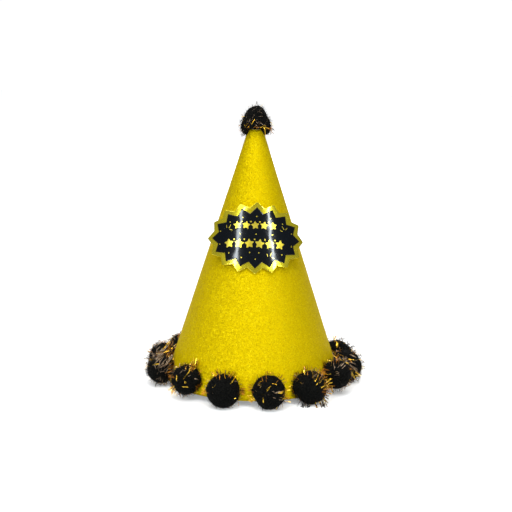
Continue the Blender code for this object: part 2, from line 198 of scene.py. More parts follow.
class MaterialMaker:
    """A material with one Principled shader, and short calls for the nodes that feed it."""

    def __init__(self, name):
        self.data = bpy.data.materials.new(name)
        self.data.use_nodes = True
        self.nodes = self.data.node_tree.nodes
        self.links = self.data.node_tree.links
        self.shader = self.nodes["Principled BSDF"]

    def node(self, kind, **settings):
        made = self.nodes.new(kind)
        for key, value in settings.items():
            setattr(made, key, value)
        return made

    def join(self, source, target):
        self.links.new(source, target)

    def feed(self, source, name):
        self.join(source, self.shader.inputs[name])

    def texture(self, kind, **values):
        made = self.node(kind)
        put(made, **values)
        self.join(self.node("ShaderNodeTexCoord").outputs["Object"], made.inputs["Vector"])
        return made.outputs

    def noise(self, scale, detail=2.0):
        return self.texture("ShaderNodeTexNoise", Scale=scale, Detail=detail)["Fac"]

    def cells(self, scale):
        return self.texture("ShaderNodeTexVoronoi", Scale=scale)

    def ramp(self, source, stops):
        made = self.node("ShaderNodeValToRGB")
        elements = made.color_ramp.elements
        while len(elements) < len(stops):
            elements.new(0.5)
        for element, (place, colour) in zip(elements, stops):
            element.position = place
            element.color = (*colour, 1.0)
        self.join(source, made.inputs["Fac"])
        return made.outputs["Color"]

    def two_tones(self, source, dark, light):
        self.feed(self.ramp(source, ((0.3, dark), (0.7, light))), "Base Color")

    def roughness_between(self, source, low, high):
        made = self.node("ShaderNodeMapRange")
        put(made, To_Min=low, To_Max=high)
        self.join(source, made.inputs["Value"])
        self.feed(made.outputs["Result"], "Roughness")

    def bump(self, height, strength, distance, normal=None):
        made = self.node("ShaderNodeBump")
        put(made, Strength=strength, Distance=distance)
        self.join(height, made.inputs["Height"])
        if normal:
            self.join(normal, made.inputs["Normal"])
        self.feed(made.outputs["Normal"], "Normal")
        return made.outputs["Normal"]

    def mix(self, first, second, factor, blend="MIX"):
        made = self.node("ShaderNodeMix", data_type="RGBA", blend_type=blend)
        put(made, Factor=factor)
        self.join(first, made.inputs["A"])
        self.join(second, made.inputs["B"])
        self.feed(made.outputs["Result"], "Base Color")


def new_material(name, roughness, metallic=0.0, specular=0.5, coat=0.0):
    maker = MaterialMaker(name)
    put(maker.shader, Roughness=roughness, Metallic=metallic)
    put(maker.shader, Specular_IOR_Level=specular, Coat_Weight=coat)
    return maker


# --- Materials ---

# Flake shades that vary at random, up to the last stop.
GLITTER_SHADES_AND_SPARKLE = (
    (0.0, (0.45, 0.28, 0.0005)),
    (0.30, (0.64, 0.44, 0.001)),
    (0.75, (0.72, 0.54, 0.0012)),
    (0.95, (0.78, 0.60, 0.002)),
    # Painted sparkle: the brightest few flakes, coloured as if catching a lamp.
    (0.98, (0.94, 0.80, 0.015)),
)


def flake_shade(maker, colour):
    """One of the lacquer's shades for each flake, by the red part of its random colour; the brightest few
    get a painted sparkle.
    """
    parts = maker.node("ShaderNodeSeparateColor")
    maker.join(colour, parts.inputs["Color"])
    return maker.ramp(parts.outputs["Red"], GLITTER_SHADES_AND_SPARKLE)


def glitter_material():
    """Flakes of two sizes, each with its own tilt and shade, in yellow-gold lacquer, a few with a painted
    sparkle.
    """
    maker = new_material("yellow_gold_glitter", roughness=0.55, metallic=0.30, specular=0.0)
    fine = maker.cells(3000.0)
    coarse = maker.cells(1400.0)
    maker.mix(flake_shade(maker, fine["Color"]), flake_shade(maker, coarse["Color"]), 0.5)
    tilt = tilted_normal(maker, coarse["Color"], 0.24)
    maker.bump(fine["Distance"], 0.30, 0.0002, tilt)
    return maker.data


def tilted_normal(maker, random_colour, amount):
    """The surface normal leant by a random vector, one for each flake."""
    centred = maker.node("ShaderNodeVectorMath", operation="SUBTRACT")
    centred.inputs[1].default_value = (0.5, 0.5, 0.5)
    maker.join(random_colour, centred.inputs[0])
    scaled = maker.node("ShaderNodeVectorMath", operation="SCALE")
    put(scaled, Scale=2.0 * amount)
    maker.join(centred.outputs["Vector"], scaled.inputs[0])
    added = maker.node("ShaderNodeVectorMath", operation="ADD")
    maker.join(scaled.outputs["Vector"], added.inputs[0])
    maker.join(maker.node("ShaderNodeNewGeometry").outputs["Normal"], added.inputs[1])
    unit_length = maker.node("ShaderNodeVectorMath", operation="NORMALIZE")
    maker.join(added.outputs["Vector"], unit_length.inputs[0])
    return unit_length.outputs["Vector"]


def paper_material(name, dark, light, roughness, grain=900.0):
    """Uncoated card: soft mottling and a little tooth."""
    maker = new_material(name, roughness=roughness, specular=0.3)
    mottle = maker.noise(grain, detail=4.0)
    maker.two_tones(mottle, dark, light)
    maker.bump(mottle, 0.25, 0.0001)
    return maker.data


def pile_material():
    """Acrylic pile seen end on: near-black tufts, with painted shade in the clefts and between fibres."""
    maker = new_material("black_pile", roughness=0.85, specular=0.08)
    tufts = maker.cells(620.0)["Distance"]
    fibres = maker.cells(2300.0)["Distance"]
    # Painted shading: each tuft lighter at its middle, near black in the clefts between tufts.
    shade = maker.ramp(
        tufts,
        ((0.1, (0.0125, 0.0125, 0.0105)), (0.45, (0.006, 0.006, 0.005)), (0.75, (0.001, 0.001, 0.001))),
    )
    # Painted shade: darker in the gaps between fibre ends.
    painted_fibre_gap_shade = maker.ramp(fibres, ((0.1, WHITE), (0.7, (0.35, 0.35, 0.33))))
    maker.mix(shade, painted_fibre_gap_shade, 1.0, "MULTIPLY")
    heaped = maker.bump(tufts, 0.9, -0.0012)
    maker.bump(fibres, 0.8, -0.0003, heaped)
    return maker.data


def fibre_material():
    maker = new_material("black_fibre", roughness=0.75, specular=0.10)
    put(maker.shader, Base_Color=(0.0085, 0.0085, 0.0072, 1.0))
    maker.roughness_between(maker.noise(2500.0), 0.5, 0.95)
    return maker.data


def tinsel_material(name, colour, roughness):
    """Metallised film: the base colour is even, and the shine varies with its creases."""
    maker = new_material(name, roughness=roughness, metallic=1.0)
    put(maker.shader, Base_Color=(*colour, 1.0))
    creases = maker.noise(1800.0)
    maker.roughness_between(creases, roughness - 0.08, roughness + 0.12)
    maker.bump(creases, 0.3, 0.0001)
    return maker.data


def foil_material(name, dark, light, roughness):
    """Mirror-gold laminate: near smooth, gently rippled, with slight colour drift."""
    maker = new_material(name, roughness=roughness, metallic=0.78, specular=0.0, coat=1.0)
    put(maker.shader, Coat_Roughness=0.14)
    maker.two_tones(maker.noise(60.0), dark, light)
    maker.bump(maker.noise(140.0, detail=1.0), 0.12, 0.002)
    return maker.data


def gloss_black_material():
    """Film-laminated print: deep blue-black under a clear gloss with slight waves."""
    maker = new_material("gloss_black_card", roughness=0.45, specular=0.02, coat=1.0)
    put(maker.shader, Coat_Roughness=0.12)
    maker.two_tones(maker.noise(45.0), (0.0003, 0.0013, 0.0026), (0.0006, 0.0022, 0.0044))
    ripple = maker.bump(maker.noise(110.0, detail=1.0), 0.10, 0.002)
    maker.feed(ripple, "Coat Normal")
    return maker.data


def glue_material():
    """Hot-melt glue: milky and slightly waxy."""
    maker = new_material("hot_melt_glue", roughness=0.3)
    put(maker.shader, Subsurface_Weight=0.3, Subsurface_Scale=0.001)
    haze = maker.noise(500.0)
    maker.two_tones(haze, (0.70, 0.66, 0.55), (0.86, 0.84, 0.76))
    maker.bump(haze, 0.3, 0.0002)
    return maker.data


def foam_material():
    maker = new_material("white_foam", roughness=0.9, specular=0.2)
    bubbles = maker.cells(2600.0)["Distance"]
    stops = ((0.0, (0.70, 0.70, 0.67)), (0.6, (0.88, 0.88, 0.86)))
    maker.feed(maker.ramp(bubbles, stops), "Base Color")
    maker.bump(bubbles, 0.5, 0.0003)
    return maker.data


def thread_material():
    maker = new_material("black_thread", roughness=0.7, specular=0.3)
    maker.two_tones(maker.noise(3000.0), (0.008, 0.008, 0.008), (0.03, 0.03, 0.03))
    return maker.data


GLITTER = glitter_material()
CARD = paper_material("white_card", (0.78, 0.77, 0.71), (0.88, 0.87, 0.82), 0.85)
TAPE = paper_material("paper_tape", (0.80, 0.77, 0.66), (0.90, 0.88, 0.80), 0.55, grain=1600.0)
PILE = pile_material()
FIBRE = fibre_material()
GOLD_TINSEL = tinsel_material("gold_tinsel", (0.95, 0.60, 0.055), 0.20)
COPPER_TINSEL = tinsel_material("copper_tinsel", (0.48, 0.19, 0.022), 0.28)
BEIGE_TINSEL = tinsel_material("beige_tinsel", (0.33, 0.235, 0.155), 0.30)
BLACK_TINSEL = tinsel_material("black_tinsel", (0.018, 0.016, 0.014), 0.30)
FOIL = foil_material("mirror_gold_foil", (0.88, 0.70, 0.015), (1.0, 0.84, 0.03), 0.20)
PRINT = foil_material("gold_print_foil", (0.82, 0.62, 0.03), (0.95, 0.78, 0.10), 0.28)
GLOSS_BLACK = gloss_black_material()
GLUE = glue_material()
FOAM = foam_material()
THREAD = thread_material()


# --- Object helpers ---

def add_piece(name, mesh, *materials):
    piece = add_object(name, mesh)
    for material in materials:
        mesh.materials.append(material)
    return piece


def settle(piece, slot, *nodes):
    """Joins a piece to the hat's one body, in place of the CAD nodes that it stands for."""
    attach(piece, BODY)
    if nodes:
        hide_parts(*nodes)


def mesh_from_arrays(name, verts, faces, smooth=True, material_index=None):
    """verts is (n, 3), faces is (m, k) with one corner count for all."""
    mesh = bpy.data.meshes.new(name)
    count, corners = faces.shape
    mesh.vertices.add(len(verts))
    mesh.vertices.foreach_set("co", np.asarray(verts, np.float32).ravel())
    mesh.loops.add(count * corners)
    mesh.loops.foreach_set("vertex_index", faces.astype(np.int32).ravel())
    mesh.polygons.add(count)
    mesh.polygons.foreach_set("loop_start", np.arange(0, count * corners, corners, dtype=np.int32))
    mesh.polygons.foreach_set("use_smooth", np.full(count, smooth))
    if material_index is not None:
        mesh.polygons.foreach_set("material_index", material_index.astype(np.int32))
    mesh.update(calc_edges=True)
    mesh.validate()
    return mesh


def repaint(node, material):
    slots = NODES[node].data.materials
    slots.clear()
    slots.append(material)


# --- Cone ---

COVER_THICKNESS = 0.7 * MM
FLAP_LIFT = 1.0 * MM
FLAP_HALF_ANGLE = math.radians(5.0)
FLAP_RAMP_ANGLE = math.radians(6.0)
COVER_COLUMNS = 540
COVER_ROWS = 90
BUCKLE = 0.12 * MM
CORD_HOLE_GAPS = (("pompom_09", "pompom_10"), ("pompom_02", "pompom_03"))
CORD_HOLE_RADIUS = 1.5 * MM
CORD_HOLE_RISE = 10.0 * MM
CORD_CUTTER_LENGTH = 8.0 * MM
CORD_CUTTER_SEGMENTS = 24


def flap_lift(angle):
    ramp = np.clip((angle - (math.pi - FLAP_HALF_ANGLE - FLAP_RAMP_ANGLE)) / FLAP_RAMP_ANGLE, 0.0, 1.0)
    return FLAP_LIFT * ramp * ramp * (3.0 - 2.0 * ramp)


def make_cover():
    """The rolled glitter sheet, fine enough to hold the slight buckles of hand-rolled card."""
    across = np.linspace(-1.0, 1.0, COVER_COLUMNS + 1) * (math.pi + FLAP_HALF_ANGLE)
    up = np.linspace(0.0, 1.0, COVER_ROWS + 1)
    angle, rise = np.meshgrid(across, up)
    z = RIM_Z + rise * (TIP_Z - RIM_Z)
    buckle = BUCKLE * np.sin(3.0 * angle + 2.0 * rise) * np.sin(math.pi * rise)
    radius = cone_radius(z) + (flap_lift(angle) + buckle) / COS_HALF
    verts = np.stack((radius * np.sin(angle), -radius * np.cos(angle), z), axis=-1).reshape(-1, 3)
    row = COVER_COLUMNS + 1
    first = (np.arange(COVER_ROWS)[:, None] * row + np.arange(COVER_COLUMNS)).ravel()
    faces = np.stack((first, first + 1, first + row + 1, first + row), axis=1)
    mesh = mesh_from_arrays("glitter_cover", verts, faces)
    cover = add_piece("glitter_cover", mesh, GLITTER, CARD)
    shell = cover.modifiers.new("thickness", "SOLIDIFY")
    shell.thickness = COVER_THICKNESS
    shell.offset = -1.0
    shell.material_offset = 1
    shell.material_offset_rim = 1
    punch_cord_holes(cover)
    settle(cover, "glitter_card", "cone_glitter_cover")


def punch_cord_holes(cover):
    """The holes for a chin cord, one at each side, punched through the finished sheet."""
    z = RIM_Z + CORD_HOLE_RISE
    radius = cone_radius(z)
    punches = []
    for pair in CORD_HOLE_GAPS:
        angle = 0.5 * sum(math.atan2(centre[0], -centre[1]) for centre, _ in map(sphere_of, pair))
        bm = bmesh.new()
        bmesh.ops.create_cone(
            bm, cap_ends=True, segments=CORD_CUTTER_SEGMENTS, radius1=CORD_HOLE_RADIUS,
            radius2=CORD_HOLE_RADIUS, depth=CORD_CUTTER_LENGTH,
        )
        for face in bm.faces:
            face.material_index = 1
        punch = add_object("cord_hole_punch", mesh_of("cord_hole_punch", bm))
        punch.location = (radius * math.sin(angle), -radius * math.cos(angle), z)
        punch.rotation_euler = (0.5 * math.pi - HALF_ANGLE, 0.0, angle)
        boolean = cover.modifiers.new("cord_hole", "BOOLEAN")
        boolean.operation = "DIFFERENCE"
        boolean.object = punch
        punches.append(punch)
    graph = bpy.context.evaluated_depsgraph_get()
    punched = bpy.data.meshes.new_from_object(cover.evaluated_get(graph))
    cover.modifiers.clear()
    cover.data = punched
    for punch in punches:
        bpy.data.objects.remove(punch)


# --- Badge ---

BADGE_BEND_ANGLE = math.radians(28.0)
BADGE_SLANT = 104.0 * MM
BADGE_SHIFT = 1.15 * MM
BADGE_ROLL = math.radians(1.5)
BADGE_STANDOFF = 1.8 * MM
BURST_TIPS = 16
FACE_HALF_WIDTH = 36.0 * MM
FACE_HALF_HEIGHT = 23.8 * MM
FACE_NOTCH = 5.0 * MM
BORDER_REACH = 4.2 * MM
BORDER_NOTCH = 4.6 * MM
BORDER_TIP_RADIUS = 1.2 * MM
FACE_TIP_RADIUS = 0.25 * MM
GOLD_THICKNESS = 0.5 * MM
FACE_THICKNESS = 0.4 * MM
CARD_GAP = 0.3 * MM
FACE_STANDOFF = BADGE_STANDOFF + GOLD_THICKNESS + CARD_GAP
CARD_CELL = 1.0 * MM
CARD_EDGE = 0.08 * MM
PRINT_RISE = 0.07 * MM
PRINT_SUNK = 0.05 * MM
STAR_INNER = 0.52
STAR_TIP_RADIUS = 0.35 * MM
UPPER_ROW = {"count": 5, "radius": 3.5 * MM, "pitch": 6.9 * MM, "x": -0.9 * MM, "y": 9.6 * MM}
LOWER_ROW = {"count": 6, "radius": 4.1 * MM, "pitch": 7.9 * MM, "x": -1.0 * MM, "y": -4.6 * MM}
STAR_TILT = math.radians(7.0)
SPARKLE_RADIUS = 0.75 * MM
SPARKLE_RISE = 0.80
TIP_CURL = 0.55 * MM
CURL_CYCLES = 7.0
CURL_START = 0.88
CURL_SPAN = 0.3
SHARP_ANGLE = math.radians(35.0)
ACROSS = Vector((1.0, 0.0, 0.0))
STAR_ARC_STEPS = 3
OVAL_SAMPLES = 720
DOT_RADIUS = 0.48 * MM
DOT_OVAL = (30.0 * MM, 16.5 * MM)
DOT_PLACES = 14
STREAMER_PLACE = 6
MIDDLE_DOTS = {"count": 3, "pitch": 12.5 * MM, "x": 0.0, "y": 2.8 * MM}
LOWER_DOTS = {"count": 2, "pitch": 7.0 * MM, "x": -1.0 * MM, "y": -11.5 * MM}
SIDE_STREAMER = (22.5 * MM, 6.0 * MM)
STREAMER_HEADINGS = (35.0, -25.0, 25.0)
STREAMER_LENGTH = 4.1 * MM
STREAMER_WIDTH = 0.60 * MM
STREAMER_START = 0.42
STREAMER_TAPER = 0.35
STREAMER_STEPS = 6
# Each stroke's heading from the middle one in degrees, its curl in radians and its share of length
STREAMER_STROKES = ((-55.0, 0.15, 0.55), (0.0, -0.15, 0.75), (55.0, 0.15, 0.55))


def ellipse_angles(half_width, half_height, count):
    """Parameters that divide an ellipse into equal lengths of arc, from its top clockwise."""
    middles = FULL_TURN * (np.arange(OVAL_SAMPLES) + 0.5) / OVAL_SAMPLES
    speed = np.hypot(half_width * np.cos(middles), half_height * np.sin(middles))
    lengths = np.concatenate(((0.0,), np.cumsum(speed)))
    wanted = lengths[-1] * np.arange(count) / count
    return np.interp(wanted, lengths, FULL_TURN * np.arange(OVAL_SAMPLES + 1) / OVAL_SAMPLES)


def burst_outline(reach, notch):
    """A burst's corners: tips on an ellipse, and notches between them on a smaller one."""
    corners = []
    angles = ellipse_angles(FACE_HALF_WIDTH, FACE_HALF_HEIGHT, 2 * BURST_TIPS)
    for number, angle in enumerate(angles):
        extra = reach if number % 2 == 0 else notch - FACE_NOTCH
        x = (FACE_HALF_WIDTH + extra) * math.sin(angle)
        y = (FACE_HALF_HEIGHT + extra) * math.cos(angle)
        corners.append(Vector((x, y)))
    return corners


def rounded_tips(corners, radius, steps=4):
    """Every second corner, a tip, becomes a short arc."""
    outline = []
    for number, corner in enumerate(corners):
        if number % 2:
            outline.append(corner)
            continue
        before = (corners[number - 1] - corner).normalized()
        after = (corners[(number + 1) % len(corners)] - corner).normalized()
        half = 0.5 * before.angle(after)
        inward = (before + after).normalized()
        centre = corner + inward * (radius / math.sin(half))
        start = corner + before * (radius / math.tan(half)) - centre
        turn = start.angle_signed(corner + after * (radius / math.tan(half)) - centre)
        base = math.atan2(start.y, start.x)
        for step in range(steps + 1):
            direction = base - turn * step / steps
            outline.append(centre + radius * Vector((math.cos(direction), math.sin(direction))))
    return outline


def bend_point(flat, standoff):
    """Carries a point of the flat card on to the wider cone that the badge is bent round."""
    across = flat.x * math.cos(BADGE_ROLL) + flat.y * math.sin(BADGE_ROLL) + BADGE_SHIFT
    up = flat.y * math.cos(BADGE_ROLL) - flat.x * math.sin(BADGE_ROLL)
    slant = math.hypot(across, BADGE_SLANT - up)
    turn = math.atan2(across, BADGE_SLANT - up) / math.sin(BADGE_BEND_ANGLE)
    lean = HALF_ANGLE - BADGE_BEND_ANGLE
    axis = Vector((0.0, -math.sin(lean), -math.cos(lean)))
    forward = Vector((0.0, -math.cos(lean), math.sin(lean)))
    radial = math.cos(turn) * forward + math.sin(turn) * ACROSS
    along = math.cos(BADGE_BEND_ANGLE) * axis + math.sin(BADGE_BEND_ANGLE) * radial
    normal = math.cos(BADGE_BEND_ANGLE) * radial - math.sin(BADGE_BEND_ANGLE) * axis
    apex = Vector((0.0, -standoff * COS_HALF, APEX_Z + standoff * SIN_HALF))
    return apex + slant * along + flat.z * normal


def raise_outline(bm, outline, low, high):
    """A closed flat solid on an outline, between two heights."""
    foot = [bm.verts.new((point.x, point.y, low)) for point in outline]
    head = [bm.verts.new((point.x, point.y, high)) for point in outline]
    count = len(outline)
    faces = [bm.faces.new(foot), bm.faces.new(head[::-1])]
    for number in range(count):
        following = (number + 1) % count
        faces.append(bm.faces.new((foot[following], foot[number], head[number], head[following])))
    bmesh.ops.recalc_face_normals(bm, faces=faces)


def slice_card(bm, direction, reach):
    count = int(reach / CARD_CELL)
    for number in range(-count, count + 1):
        geometry = bm.verts[:] + bm.edges[:] + bm.faces[:]
        bmesh.ops.bisect_plane(
            bm, geom=geometry, dist=NEAR, plane_co=direction * number * CARD_CELL, plane_no=direction
        )


def tip_curl(flat):
    """How far the border's loose tips have curled off the flat, some out and some in."""
    stretch = math.hypot(flat.x / FACE_HALF_WIDTH, flat.y / FACE_HALF_HEIGHT)
    out = min(max((stretch - CURL_START) / CURL_SPAN, 0.0), 1.0)
    turn = math.atan2(flat.x / FACE_HALF_WIDTH, flat.y / FACE_HALF_HEIGHT)
    return TIP_CURL * out * out * (math.sin(CURL_CYCLES * turn + 0.8) + 0.5 * math.sin(3.0 * turn))


def bent_piece(name, bm, standoff, material, curled=False):
    """Cuts flat work into small cells and bends it round the cone."""
    slice_card(bm, ACROSS, FACE_HALF_WIDTH + BORDER_REACH)
    slice_card(bm, Vector((0.0, 1.0, 0.0)), FACE_HALF_HEIGHT + BORDER_REACH)
    for face in bm.faces:
        face.material_index = int(max(vert.co.z for vert in face.verts) < NEAR)
    for vert in bm.verts:
        if curled:
            vert.co.z += tip_curl(vert.co)
        vert.co = bend_point(vert.co, standoff)
    mesh = mesh_of(name, bm)
    mesh.shade_smooth()
    mesh.set_sharp_from_angle(angle=SHARP_ANGLE)
    return add_piece(name, mesh, material, CARD)


def badge_card(name, reach, notch, tip_radius, thickness, standoff, material):
    """One die-cut burst with slightly softened edges."""
    bm = bmesh.new()
    raise_outline(bm, rounded_tips(burst_outline(reach, notch), tip_radius), 0.0, thickness)
    rims = [edge for edge in bm.edges if edge.verts[0].co.z == edge.verts[1].co.z]
    bmesh.ops.bevel(bm, geom=rims, offset=CARD_EDGE, segments=2, profile=0.5, affect="EDGES")
    return bent_piece(name, bm, standoff, material, curled=reach > 0.0)


def star_outline(x, y, radius, tilt):
    corners = []
    for number in range(10):
        reach = radius if number % 2 == 0 else STAR_INNER * radius
        angle = tilt + FULL_TURN * number / 10
        corners.append(Vector((reach * math.sin(angle), reach * math.cos(angle))))
    return [point + Vector((x, y)) for point in rounded_tips(corners, STAR_TIP_RADIUS, STAR_ARC_STEPS)]


def dot_outline(x, y, radius=DOT_RADIUS, corners=14):
    turns = [FULL_TURN * number / corners for number in range(corners)]
    return [Vector((x + radius * math.sin(turn), y + radius * math.cos(turn))) for turn in turns]


def sparkle_outlines():
    """Small lozenges in the gaps between the stars' upper points."""
    outlines = []
    for row in (UPPER_ROW, LOWER_ROW):
        for x, y in row_places({**row, "count": row["count"] - 1}):
            outlines.append(dot_outline(x, y + SPARKLE_RISE * row["radius"], SPARKLE_RADIUS, 4))
    return outlines


def streamer_outlines(x, y, heading):
    """Three short strokes that fan out from a point, like flung confetti."""
    outlines = []
    for fan, curl, length in STREAMER_STROKES:
        angle = math.radians(heading + fan)
        left = []
        right = []
        for step in range(STREAMER_STEPS + 1):
            part = step / STREAMER_STEPS
            bend = angle + curl * (part - 0.5)
            reach = (STREAMER_START + part * length) * STREAMER_LENGTH
            middle = Vector((x + reach * math.sin(bend), y + reach * math.cos(bend)))
            half = 0.5 * STREAMER_WIDTH * (1.0 - STREAMER_TAPER * part)
            side = Vector((math.cos(bend), -math.sin(bend))) * half
            left.append(middle - side)
            right.append(middle + side)
        outlines.append(left + right[::-1])
    return outlines


def row_places(row):
    """The middles of the motifs in a row."""
    first = row["x"] - 0.5 * row["pitch"] * (row["count"] - 1)
    return [(first + row["pitch"] * number, row["y"]) for number in range(row["count"])]


def make_print():
    """Raised foil stars, dots and streamers on the black face."""
    outlines = []
    for row in (UPPER_ROW, LOWER_ROW):
        for number, (x, y) in enumerate(row_places(row)):
            tilt = STAR_TILT * (1.0 if number % 2 else -1.0)
            outlines.append(star_outline(x, y, row["radius"], tilt))
    half_width, half_height = DOT_OVAL
    turns = ellipse_angles(half_width, half_height, DOT_PLACES)
    oval = [(half_width * math.sin(turn), half_height * math.cos(turn)) for turn in turns]
    low_streamer = oval.pop(STREAMER_PLACE)
    for x, y in oval + row_places(MIDDLE_DOTS) + row_places(LOWER_DOTS):
        outlines.append(dot_outline(x, y))
    across, up = SIDE_STREAMER
    for (x, y), heading in zip(((-across, up), (across, up), low_streamer), STREAMER_HEADINGS):
        outlines += streamer_outlines(x, y, heading)
    outlines += sparkle_outlines()
    bm = bmesh.new()
    for outline in outlines:
        raise_outline(bm, outline, FACE_THICKNESS - PRINT_SUNK, FACE_THICKNESS + PRINT_RISE)
    return bent_piece("badge_foil_print", bm, FACE_STANDOFF, PRINT)


def make_badge():
    border = badge_card(
        "badge_border", BORDER_REACH, BORDER_NOTCH, BORDER_TIP_RADIUS, GOLD_THICKNESS, BADGE_STANDOFF, FOIL
    )
    face = badge_card(
        "badge_face", 0.0, 0.0, FACE_TIP_RADIUS, FACE_THICKNESS, FACE_STANDOFF, GLOSS_BLACK
    )
    settle(border, "mirror_gold_card", "badge_gold_card")
    settle(face, "gloss_black_card", "badge_black_face")
    settle(make_print(), "mirror_gold_card")


# --- Pom-poms ---

FLOOR_CLEARANCE = 0.25 * MM
WALL_CLEARANCE = 0.15 * MM
CORE_DETAIL = 5
CORE_SCALE = 0.90
TUFTS = 420
TUFT_RISE = 0.06
PILE_FIBRES = 5200
FIBRE_ROOT = 0.80
FIBRE_WIDTH = 0.26 * MM
FIBRE_LEAN = 0.10
STRAY_FIBRES = 900
STRAY_WIDTH = 0.15 * MM
STRAY_LEAN = 0.2
STRAY_LENGTH = 0.075
FIBRE_WIDTHS = (0.7, 1.2)
# A fibre's head points partly its own way and partly the way of its tuft.
OWN_SHARE = 0.6
TUFT_SHARE = 0.4
TUFT_SPREAD = 0.6
TUFT_UNEVENNESS = 0.014
PILE_REACH = 0.945
PILE_UNEVENNESS = 0.018
MOST_PRESSED = 3.0 * MM
SHORTEST_FIBRE = 0.4 * MM
SHAKE = 0.6
LUMPS = 0.055
LUMP_SCALE = 1.5

# The side of each pom-pom that faces along this line carries the strands listed below.
SHOW_SIDE = Vector((0.0, -math.cos(CAMERA_ELEVATION), math.sin(CAMERA_ELEVATION)))
SHOW_RIGHT = Vector((1.0, 0.0, 0.0))
SHOW_UP = SHOW_SIDE.cross(SHOW_RIGHT)
SHOW_AXES = np.array((SHOW_RIGHT, SHOW_UP, SHOW_SIDE))


def sphere_of(node):
    """Centre and radius of a turned ball, from the corners on its outer half."""
    points = np.array([vert.co for vert in NODES[node].data.vertices], float)
    middle = points.mean(axis=0)
    outward = middle[:2] / np.hypot(*middle[:2])
    side = points[:, :2] @ outward
    outer = points[(side > np.hypot(*middle[:2])) & (points[:, 2] > 0.5 * MM)]
    matrix = np.hstack((2.0 * outer, np.ones((len(outer), 1))))
    solution = np.linalg.lstsq(matrix, (outer**2).sum(axis=1), rcond=None)[0]
    centre = solution[:3]
    return centre, float(np.sqrt(solution[3] + centre @ centre))


def wall_distance(points):
    """Distance outside the glitter sheet's surface; negative inside the cone."""
    radius = np.hypot(points[:, 0], points[:, 1])
    angle = np.arctan2(points[:, 0], -points[:, 1])
    angle = np.where(angle < FLAP_HALF_ANGLE - math.pi, angle + FULL_TURN, angle)
    return (radius - cone_radius(points[:, 2])) * COS_HALF - flap_lift(angle)


def press(points):
    """Pushes points out of the cone's wall and up off the floor, as pile is pressed in place."""
    short = np.maximum(WALL_CLEARANCE - wall_distance(points), 0.0)
    short[points[:, 2] > TIP_Z] = 0.0
    radius = np.maximum(np.hypot(points[:, 0], points[:, 1]), 1e-6)
    outward = np.stack(
        (
            points[:, 0] / radius * COS_HALF,
            points[:, 1] / radius * COS_HALF,
            np.full(len(points), SIN_HALF),
        ),
        axis=1,
    )
    pressed = points + short[:, None] * outward
    pressed[:, 2] = np.maximum(pressed[:, 2], FLOOR_CLEARANCE)
    return pressed, short


def unit(vectors):
    return vectors / np.linalg.norm(vectors, axis=1, keepdims=True)


def even_directions(count, rng):
    """Directions spread evenly over a sphere, slightly shaken."""
    index = np.arange(count) + 0.5
    polar = np.arccos(1.0 - 2.0 * index / count)
    turn = index * math.pi * (1.0 + math.sqrt(5.0))
    spread = np.stack((np.sin(polar) * np.cos(turn), np.sin(polar) * np.sin(turn), np.cos(polar)), axis=1)
    spread += rng.normal(0.0, SHAKE / math.sqrt(count), spread.shape)
    return unit(spread)


def noise_on(directions, scale, seed):
    offset = Vector((3.7 * seed, 1.9 * seed, 0.0))
    return np.array([noise.noise(Vector(d) * scale + offset) for d in directions])


# Hollows in the trimmed balls as seen square from the front: (x, y, depth, width), in radii.
DENTS = {
    "pompom_03": ((-0.55, 0.80, 0.08, 0.35),),
    "pompom_04": ((-0.80, -0.55, 0.06, 0.30), (0.75, -0.60, 0.07, 0.35)),
    "pompom_06": ((-0.80, -0.60, 0.17, 0.42), (0.97, -0.02, 0.09, 0.28), (-0.75, 0.62, 0.08, 0.35)),
    "pompom_07": ((-0.78, -0.60, 0.09, 0.35), (0.70, 0.70, 0.06, 0.30)),
    "pompom_08": ((-0.75, 0.60, 0.07, 0.35), (-0.60, -0.75, 0.08, 0.35)),
    "pompom_09": ((0.80, 0.50, 0.06, 0.35),),
}


class Ball:
    """A rim pom-pom: a hand-trimmed sphere, a little out of round."""

    def __init__(self, centre, radius, seed, dents=()):
        self.centre = np.asarray(centre)
        self.radius = radius
        self.seed = seed
        self.dents = dents

    def shape(self, directions, reach):
        trim = 1.0 + LUMPS * noise_on(directions, LUMP_SCALE, self.seed)
        for x, y, depth, width in self.dents:
            side = math.sqrt(max(1.0 - x * x - y * y, 0.0))
            middle = np.array((x, y, side)) @ SHOW_AXES
            away = np.linalg.norm(directions - middle, axis=1)
            trim -= depth * np.exp(-((away / width) ** 2))
        return self.centre + directions * (self.radius * trim * reach)[:, None]


TOP_CENTRE_Z = 206.5 * MM
TOP_HEIGHTS = np.array((17.0, 16.3, 14.8, 12.8, 10.2, 6.4, 2.2, -1.9, -5.0, -7.0, -8.0)) * MM
TOP_RADII = np.array((0.0, 3.2, 5.8, 7.5, 8.9, 10.3, 11.9, 12.7, 11.7, 9.4, 0.0)) * MM
TOP_PARTING_LIFT = 6.8 * MM
TOP_PARTING_WIDTH = 0.95
TOP_PARTING_START = 1.0 * MM
TOP_PARTING_SPAN = 4.0 * MM
TOP_RADIUS = 12.4 * MM
TOP_LUMPS = 0.06
TOP_LUMP_SCALE = 1.8


